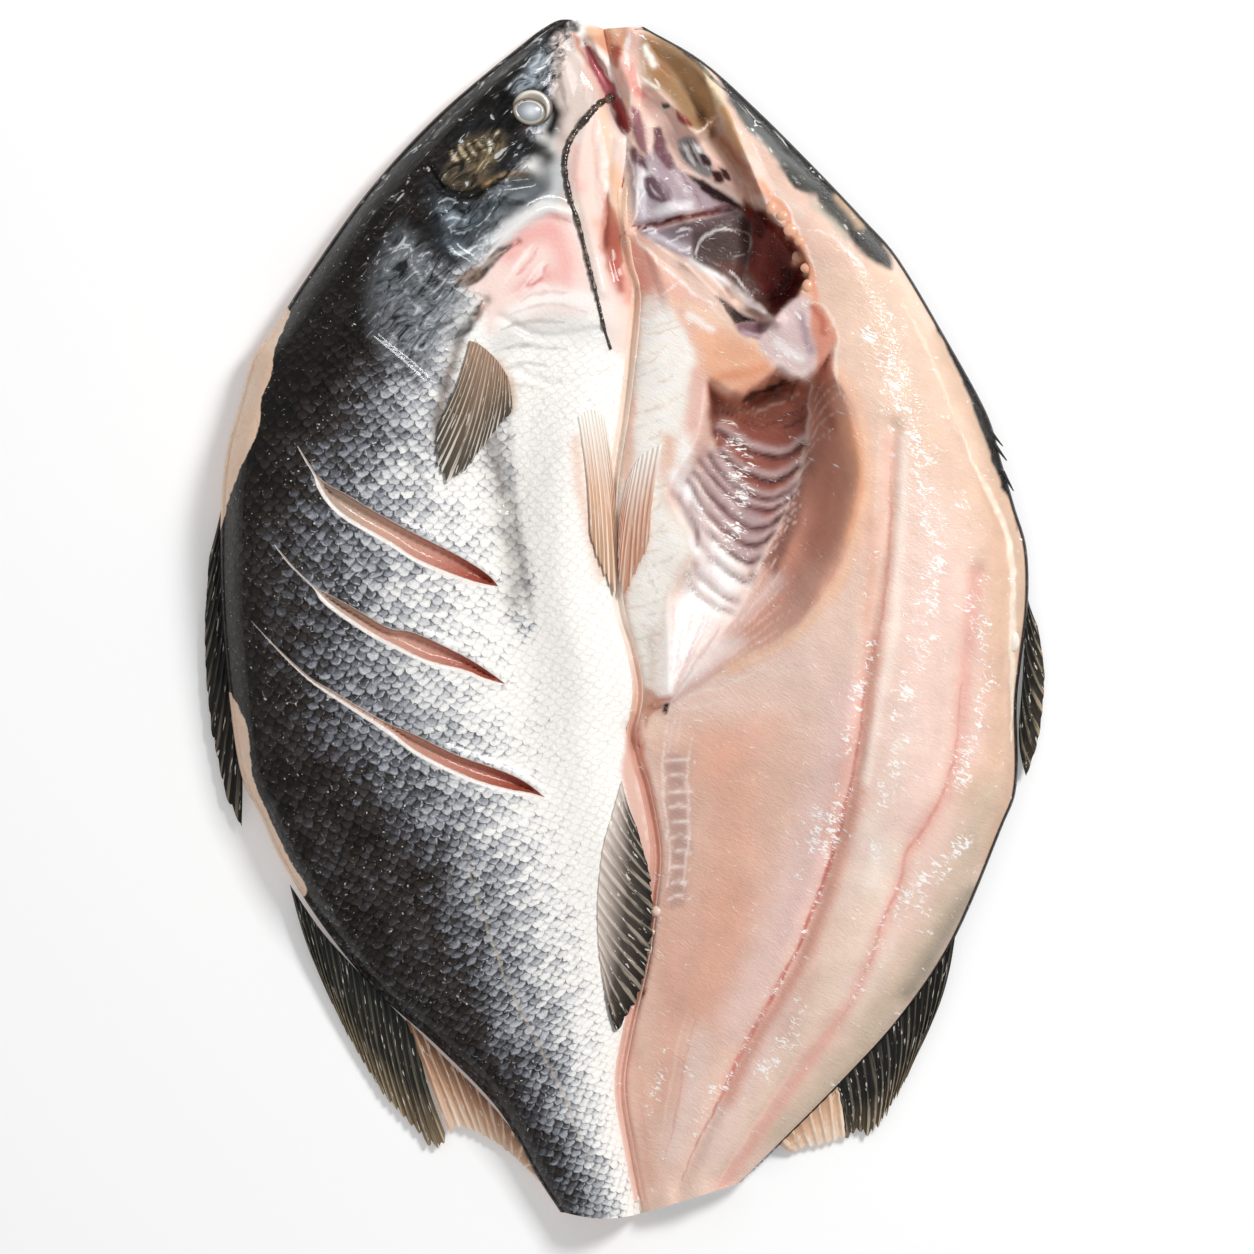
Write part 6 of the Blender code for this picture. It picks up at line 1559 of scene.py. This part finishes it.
# ---- Hinge web -------------------------------------------------------------------------------
# Where the halves hang together, a web of belly skin and fat fills the bottom of the fold
# between them. It is moist and peach coloured, and redder behind the vent.

HINGE_TINTS = {-149: "#efcdbf", -100: "#e6b8a8", -40: "#d39b8a", -22: "#e3b9a5", 0: "#f6e6da", 40: "#f3dfd0",
    70: "#f3d9c8", 88: "#eebba2", 104: "#f2c9b0", 112: "#f3cdb6"}
WEB_REACH = 1.5
WEB_THICKNESS = 0.7
WEB_ROWS, WEB_COLUMNS = 860, 15
ROW_PAD, COLUMN_PAD = 8, 4


def running(values, width, take):
    """For each column, take (a mean or a maximum) over as many columns from it on as width says."""
    kept = values.shape[1] - width + 1
    return take([values[:, start : start + kept] for start in range(width)], axis=0)


# The body's height is read under the web and beyond it, and meaned along the fold. The web hangs
# between its two sides as |side| ** 1.6, clears every step of the body, and dips in at the throat.
line = spread(smooth_line(HINGE), np.linspace(0.135, 0.99, WEB_ROWS))
side = np.linspace(-1, 1, WEB_COLUMNS)[None, :]
ground = np.stack([height_at(line + (shift, 0)) for shift in WEB_REACH * side[0]], axis=1)
ground = np.pad(ground, (2 * (ROW_PAD,), 2 * (COLUMN_PAD,)), "edge")
ground = running(ground.T, 2 * ROW_PAD + 1, np.mean).T
last = COLUMN_PAD + WEB_COLUMNS - 1
left, middle, right = (ground[:, i : i + 1] for i in (COLUMN_PAD, (COLUMN_PAD + last) // 2, last))
centre = np.maximum(middle + 0.15, 0.5 * (middle + np.minimum(left, right)))
top = centre + (np.where(side < 0, left, right) - 0.3 - centre) * np.abs(side) ** 1.6
cover = running(running(ground, COLUMN_PAD + 1, np.max), COLUMN_PAD + 1, np.mean)
top = np.maximum(top, cover + 0.1 - 0.7 * np.abs(side) ** 6) - 1.2 * ramp(109, 116, line[:, 1:])
x, y = line[:, :1] + WEB_REACH * side, line[:, 1:] + 0 * side
up, down = np.stack([x, y, top], axis=-1), np.stack([x, y, top - WEB_THICKNESS], axis=-1)
rings = np.concatenate([up, down[:, ::-1]], axis=1)
web = loft("belly_hinge_web", rings, WEB_COLUMNS)
x, y = rings[..., 0], rings[..., 1]
dress_flesh(web, x, y, shades(y, list(HINGE_TINTS), HINGE_TINTS.values()), 0.1 + 0 * x)
finish_piece(web, FLESH)


# ---- Dark strand -----------------------------------------------------------------------------
# A thin dark thread of dried slime and gut, beaded, that runs from the corner of the mouth down
# over the throat and thins out to nothing.

STRAND = [
    (-3, 130.5), (-6.3, 128.5), (-10, 124.2), (-13.3, 119.7), (-14.8, 114.7), (-14.6, 110.2),
    (-13.3, 103.9), (-11.5, 98.6), (-10.3, 93.9), (-8.3, 85.8), (-6.5, 78.8), (-5, 72.3), (-3.3, 67),
]


def cord_rings(line, radii, around=14):
    """Circles of the given radii round a line of points, each square to the line's direction."""
    ahead = np.gradient(line, axis=0)
    ahead /= np.linalg.norm(ahead, axis=1)[:, None]
    side = np.cross(ahead, (0, 0, 1))
    side /= np.linalg.norm(side, axis=1)[:, None]
    up = np.cross(side, ahead)
    turn = np.linspace(0, 2 * math.pi, around, endpoint=False)[None, :, None]
    radii = np.asarray(radii)[:, None, None]
    return line[:, None] + radii * (np.cos(turn) * side[:, None] + np.sin(turn) * up[:, None])


share = np.linspace(0, 1, 420)
line = spread(smooth_line(STRAND), share)
swollen = 1 + 0.22 * wobble(share * 80, share * 0, 1.0, 31) + 0.12 * wobble(share * 190, share * 0, 1.0, 32)
radius = (0.95 - 0.55 * share) * swollen
pad = 10
base = np.convolve(np.pad(height_at(line), pad, "edge"), np.ones(2 * pad + 1) / (2 * pad + 1), "valid")
strand_rings = cord_rings(np.column_stack([line, base + 0.35 * radius]), radius)
strand = loft("dark_strand", strand_rings, strand_rings.shape[1] // 2)
x, y = strand_rings[..., 0].ravel(), strand_rings[..., 1].ravel()
beads = ramp(0.2, 0.7, wobble(x * 1.3, y * 1.3, 0.9, 33))
note(strand, "tint", lay_over(np.tile(linear("#2b1e16"), (x.size, 1)), "#6e5946", beads))
finish_piece(strand, wet_surface("wet dark gut thread", 0.6, 1.0))


# ---- Fins ------------------------------------------------------------------------------------
# Fins are thin webs between bony rays. Along the back they trail past the edge of the fish, low
# over the table. The pectoral, the pelvic pair and the anal fin lie on the belly. Rays are dark
# and glossy with paler webs between them, and split and fray at the tips.

RAY_COLUMNS = 8
REACH_ROWS = 34


def fin_rings(root, tip, rays, heights, fray, bow, lies_on_body):
    """Rings round a fin's cross-section, one for each step along its root.

    The place is root + (tip - root) * w, bowed sideways by sin(pi w). The ridge of a ray is
    (1 - cos(2 pi phase)) / 2, and w ends short between rays, and by a seeded amount at each."""
    u = np.linspace(0, 1, rays * RAY_COLUMNS + 1)
    root_at, tip_at = spread(smooth_line(root), u), spread(smooth_line(tip), u)
    phase = u * rays
    ridge = 0.5 - 0.5 * np.cos(2 * math.pi * phase)
    short = np.random.default_rng(rays).uniform(0, fray, rays + 1)[np.minimum(phase.astype(int), rays)]
    length = 1 - fray * (1 - ridge) ** 1.5 - short
    w = np.linspace(0, 1, REACH_ROWS) ** 0.9
    aim = tip_at - root_at
    across = np.stack([aim[:, 1], -aim[:, 0]], axis=-1)
    reach = w[None, :, None] * length[:, None, None]
    sideways = bow * np.sin(math.pi * w)[None, :, None]
    place = root_at[:, None] + aim[:, None] * reach + across[:, None] * sideways
    x, y = place[..., 0], place[..., 1]
    low, high = heights
    z = low + (high - low) * w[None, :] + 0 * x
    if lies_on_body:
        z = z + uncut_height(x, y)
    fade = ramp(1.0, 0.75, w)[None, :]
    ripple = 0.1 * wobble(phase[:, None] + 0 * x, w[None, :] * 14 + 0 * x, 1.0, 41)
    top = z + (0.32 * ridge[:, None] + ripple) * (0.3 + 0.7 * fade)
    below = z - 0.28 - 0.5 * fade
    up, down = np.stack([x, y, top], axis=-1), np.stack([x, y, below], axis=-1)
    rings = np.concatenate([up, down[:, ::-1]], axis=1)
    phases = np.repeat(phase[:, None], 2 * REACH_ROWS, axis=1)
    reaches = np.tile(np.concatenate([w, w[::-1]]), (len(u), 1))
    return rings, phases, reaches


def fin_finish():
    """Fin rays and web: horny rays about 1 mm apart, each jointed every millimetre or so, under a
    wet film shown by thin lines of painted glint along their crests."""
    material, node = new_material("wet fin rays and web")
    ray = node("Attribute", {"attribute_name": "ray"}).outputs["Fac"]
    reach = node("Attribute", {"attribute_name": "reach"}).outputs["Fac"]
    tint = node("Attribute", {"attribute_name": "tint"})
    web = node("Attribute", {"attribute_name": "web"})
    turn = node("Math", TIMES, i0=ray, i1=2 * math.pi)
    wave = node("Math", {"operation": "COSINE"}, i0=turn)
    map_place = node("CombineXYZ", X=ray, Y=reach)
    streaks = node("VectorMath", TIMES, i0=map_place, i1=(3.2, 1.6, 1))
    streak = node("TexNoise", FLAT, Vector=streaks, Scale=1, Detail=4, Roughness=0.65)
    mixed = node("Math", TIMES_PLUS, i0=wave, i1=0.5, i2=0.5)
    uneven = node("Math", TIMES_PLUS, i0=streak, i1=2.6, i2=-1.3)
    mixed = node("Math", PLUS, i0=mixed, i1=uneven)
    mixed = node("MapRange", SMOOTH, Value=mixed, From_Min=-0.1, From_Max=0.4)
    base = node("Mix", RGBA, Factor=mixed, A=tint.outputs["Color"], B=web.outputs["Color"])
    # Painted glints: thin pale lines along the rays.
    glints = node("VectorMath", TIMES, i0=map_place, i1=(3.2, 6.5, 1))
    glint = node("TexNoise", FLAT, Vector=glints, Scale=1, Detail=2)
    glint = node("MapRange", SMOOTH, Value=glint, From_Min=0.68, From_Max=0.74, To_Max=0.8)
    base = node("Mix", RGBA, Factor=glint, A=base, B=linear("#e8e2d6"))
    bump = node("Bump", Strength=0.4, Distance=0.0003, Height=streak)
    shader = node(
        "BsdfPrincipled", Base_Color=base, Roughness=0.4, Normal=bump, Specular_IOR_Level=0.25,
        Coat_Weight=0.2, Coat_Roughness=0.08,
    )
    node("OutputMaterial", Surface=shader)
    return material


FIN = fin_finish()

# Name, rays, heights at root and tip, how deep it frays, sideways bow, whether it lies on the
# body, colours of its rays and of its web from root to tip, and the lines of its root and tip.
FINS = [
    ("left_spiny_fin", 12, (4.6, 2.6), 0.03, -0.02, False,
     ["#1c1a17", "#2c2823", "#7d7464"], ["#050404", "#070605", "#1c1813"],
     [(-99.1, 38.9), (-99.6, 29.4), (-99.9, 18.1), (-99.4, 4.3), (-98.1, -8.3), (-96.9, -20.8)],
     [(-104.2, 14.3), (-105.2, -0.8), (-104.9, -15.8), (-103.4, -29.6), (-100.4, -43.4), (-95.9, -53.7)]),
    ("left_soft_fin", 18, (5.0, 1.6), 0.04, 0.03, False,
     ["#41443d", "#6a6454", "#c2b091"], ["#121411", "#24211b", "#7b6851"],
     [(-83.8, -67), (-76.3, -78.1), (-68.3, -87.1), (-59.7, -96.1), (-52.2, -103.7)],
     [(-73.8, -96.1), (-66.8, -109.9), (-59.2, -121.7), (-51.2, -130.8), (-45.9, -134.3), (-44.4, -131.3)]),
    ("left_tail_web", 12, (5.4, 2.2), 0.04, 0.0, False,
     ["#cfa98c", "#eccdb5", "#f7e6d6"], ["#7a523a", "#c89a7b", "#e6c6ab"],
     [(-54.7, -100.7), (-46.2, -109.2), (-36.1, -119.2), (-27.6, -129.3), (-19.8, -142.8)],
     [(-44.2, -129.3), (-38.7, -128.8), (-33.6, -131.3), (-29.1, -134.3), (-22.6, -140.1)]),
    ("right_spiny_fin", 8, (4.4, 2.8), 0.03, 0.05, False,
     ["#34302a", "#5f5546", "#a99a80"], ["#0c0a08", "#120f0d", "#352d23"],
     [(100.4, 11), (100.7, 3), (100.4, -5.8), (99.9, -15.8), (99.1, -25.9)],
     [(103.9, -2.8), (105.4, -12), (105.4, -20.8), (103.9, -31.4), (100.9, -40.4)]),
    ("right_soft_fin", 16, (4.6, 1.8), 0.05, -0.05, False,
     ["#3c3b36", "#70695b", "#c4b499"], ["#0c0b0a", "#181613", "#54473a"],
     [(83.1, -79.6), (77.3, -87.6), (70.8, -96.1), (64.3, -104.2), (58, -110.7), (52.2, -117.2)],
     [(72.8, -111.7), (69.3, -119.2), (65.3, -126.3), (61.7, -130.3), (58.7, -129.8), (55.7, -132)]),
    ("right_tail_web", 7, (4.6, 1.8), 0.05, 0.0, False,
     ["#e6c4a8", "#f7ddc6", "#fbeee2"], ["#b98d6c", "#e3bb9c", "#f0d4bd"],
     [(54.7, -114.2), (48.2, -121.2), (42.4, -127.8), (38.2, -131.8)],
     [(56.2, -130.8), (52.2, -132.3), (47.2, -133), (41.7, -134.5)]),
    ("pectoral_fin", 15, (0.5, 1.1), 0.04, -0.03, True,
     ["#c8ad98", "#c2b5a3", "#ded7cc"], ["#a88b76", "#6b5a4b", "#484138"],
     [(-38.5, 69), (-36, 68), (-32, 64.5), (-29, 60)],
     [(-46.5, 47), (-47, 41), (-44.5, 33.5), (-39, 37), (-33, 45), (-27.8, 51.5)]),
    ("left_pelvic_fin", 9, (0.1, 0.9), 0.04, -0.02, True,
     ["#fbf7f0", "#f7e3d3", "#f3ddcb"], ["#f8f3ec", "#dcb193", "#b28c6d"],
     [(-11.6, 50), (-8, 52), (-4.6, 50)],
     [(-8.2, 19), (-5.6, 11.5), (-3.4, 6.6), (-1.8, 4.2), (-1.7, 14)]),
    ("right_pelvic_fin", 9, (0.1, 0.9), 0.04, 0.02, True,
     ["#faf4ed", "#f3d3bf", "#f3dac8"], ["#f8f0e8", "#d9a78d", "#cc957b"],
     [(0.6, 34), (4, 40), (9.6, 43.5)],
     [(-1.6, 20), (-1.4, 9), (0, 4.4), (2.4, 9), (6, 17.5)]),
    ("anal_fin", 15, (0.3, 1.3), 0.04, 0.03, True,
     ["#e9dfd6", "#a2978a", "#8f8675"], ["#d9c8bc", "#4a413a", "#141210"],
     [(-0.5, -40.9), (-3, -49.7), (-5.3, -58.5), (-6.5, -71), (-6.3, -82.3), (-5.3, -89.9)],
     [(3.5, -53.5), (6.8, -65.5), (7.5, -77.3), (6, -89.1), (3, -97.4), (-2, -104.2)]),
]
for name, rays, heights, fray, bow, lies_on_body, ray_colours, web_colours, root, tip in FINS:
    rings, phase, reach = fin_rings(root, tip, rays, heights, fray, bow, lies_on_body)
    fin = loft(name, rings, REACH_ROWS)
    for key, codes in (("tint", ray_colours), ("web", web_colours)):
        note(fin, key, shades(reach, (0, 0.55, 1), codes))
    note(fin, "ray", phase.ravel())
    note(fin, "reach", reach.ravel())
    finish_piece(fin, FIN)


# ---- Cut spines ------------------------------------------------------------------------------
# Ends of the first back spines, cut through and left sticking out at the edge of the flesh half.

# Root and tip of each. A spine sinks a little and tapers from 0.6 mm to 0.15 mm.
SPINES = [((91, 47.5), (94.9, 42.8)), ((92.6, 43.5), (95.9, 39.2)), ((94.8, 36.5), (97.6, 31.6))]
SPINE_STEPS, SPINE_SIDES = 12, 12
for number, (start, end) in enumerate(SPINES):
    line = spread(np.array([(*start, 7.0), (*end, 6.2)]), np.linspace(0, 1, SPINE_STEPS))
    rings = cord_rings(line, np.linspace(0.6, 0.15, SPINE_STEPS), SPINE_SIDES)
    spine = loft(f"cut_spine_{number + 1}", rings, SPINE_SIDES // 2)
    note(spine, "tint", np.tile(linear("#1b1713"), (rings[..., 0].size, 1)))
    finish_piece(spine, EYE_FINISH)


# ---- Shreds ----------------------------------------------------------------------------------
# Small torn bits of white fat and membrane along the seam and at the edge of the fillet.

GILL_SHREDS = [
    (36.9, 102.2), (39.7, 100.1), (41.7, 96.6), (43.9, 93.9), (43.7, 90.1), (45.9, 87.1), (45.9, 82.6),
]
# Place, radii and colour of each.
SHREDS = [
    (place, (1.5 + 0.2 * (turn % 3), 1.7 - 0.3 * (turn % 2)), "#f0b594")
    for turn, place in enumerate(GILL_SHREDS)
] + [
    ((8.3, -73.8), (1.9, 1.4), "#efd3c2"),
    ((6.6, -83.5), (1.3, 1.6), "#e8c3b0"),
    ((97.4, -6), (1.6, 2.6), "#f3e9dc"),
    ((7.3, -79), (0.9, 1.1), "#e9c6b4"),
]
SHRED_PROFILE = [(0.05, 1.1), (0.5, 0.9), (0.85, 0.5), (1.0, 0), (0.8, -0.6), (0.05, -0.7)]
SHRED_FINISH = wet_surface("wet torn membrane", 0.8, 0.7)
for number, (centre, radii, code) in enumerate(SHREDS):
    base = height_at([centre])[0] - 0.4
    shred, rings = dome(f"shred_{number + 1}", centre, radii, base, SHRED_PROFILE, 30)
    note(shred, "tint", np.tile(linear(code), (rings[..., 0].size, 1)))
    finish_piece(shred, SHRED_FINISH)


# ---- Table, light and camera -----------------------------------------------------------------
# A plain white table, one soft lamp from the upper right, weaker broad ones from the left, the
# tail and the head, and a white surround. The camera looks straight down from three metres.

bpy.context.scene.view_settings.view_transform = "Standard"
TABLE_REACH, TABLE_DROP = 3, 0.0003
turns = ((-1, -1), (1, -1), (1, 1), (-1, 1))
corners = [(TABLE_REACH * side, TABLE_REACH * end, -TABLE_DROP) for side, end in turns]
floor_mesh = bpy.data.meshes.new("table")
floor_mesh.from_pydata(corners, [], [range(4)])
table = bpy.data.objects.new("table", floor_mesh)
bpy.context.scene.collection.objects.link(table)
table_finish, node = new_material("matt white table")
shader = node("BsdfPrincipled", Base_Color=(0.86, 0.86, 0.86, 1), Roughness=0.9, Emission_Color=(1, 1, 1, 1),
    Emission_Strength=0.2, Specular_IOR_Level=0.1,
)
node("OutputMaterial", Surface=shader)
floor_mesh.materials.append(table_finish)

world = bpy.data.worlds.new("white surround")
world.use_nodes = True
background = world.node_tree.nodes["Background"]
background.inputs["Color"].default_value = (1, 1, 1, 1)
background.inputs["Strength"].default_value = 0.26
bpy.context.scene.world = world


def lamp(name, place, size, power):
    """A square soft lamp that shines at the middle of the fish."""
    light = bpy.data.lights.new(name, "AREA")
    light.size = size
    light.energy = power
    holder = bpy.data.objects.new(name, light)
    bpy.context.scene.collection.objects.link(holder)
    holder.location = place
    x, y, z = place
    holder.rotation_euler = (math.atan2(math.hypot(x, y), z), 0, math.atan2(y, x) + math.pi / 2)


lamp("key lamp", (0.7, 0.6, 0.93), 0.34, 13.2)
lamp("left fill", (-0.95, 0.1, 0.8), 1.4, 1.3)
lamp("tail fill", (0.1, -1.0, 0.9), 1.4, 3.0)
lamp("head fill", (-0.2, 1.0, 0.9), 1.4, 1.8)

camera_data = bpy.data.cameras.new("camera")
camera_data.sensor_width = 36
camera_data.lens = 343
camera = bpy.data.objects.new("camera", camera_data)
bpy.context.scene.collection.objects.link(camera)
camera.location = (0.00075, -0.0025, 3.0)
bpy.context.scene.camera = camera
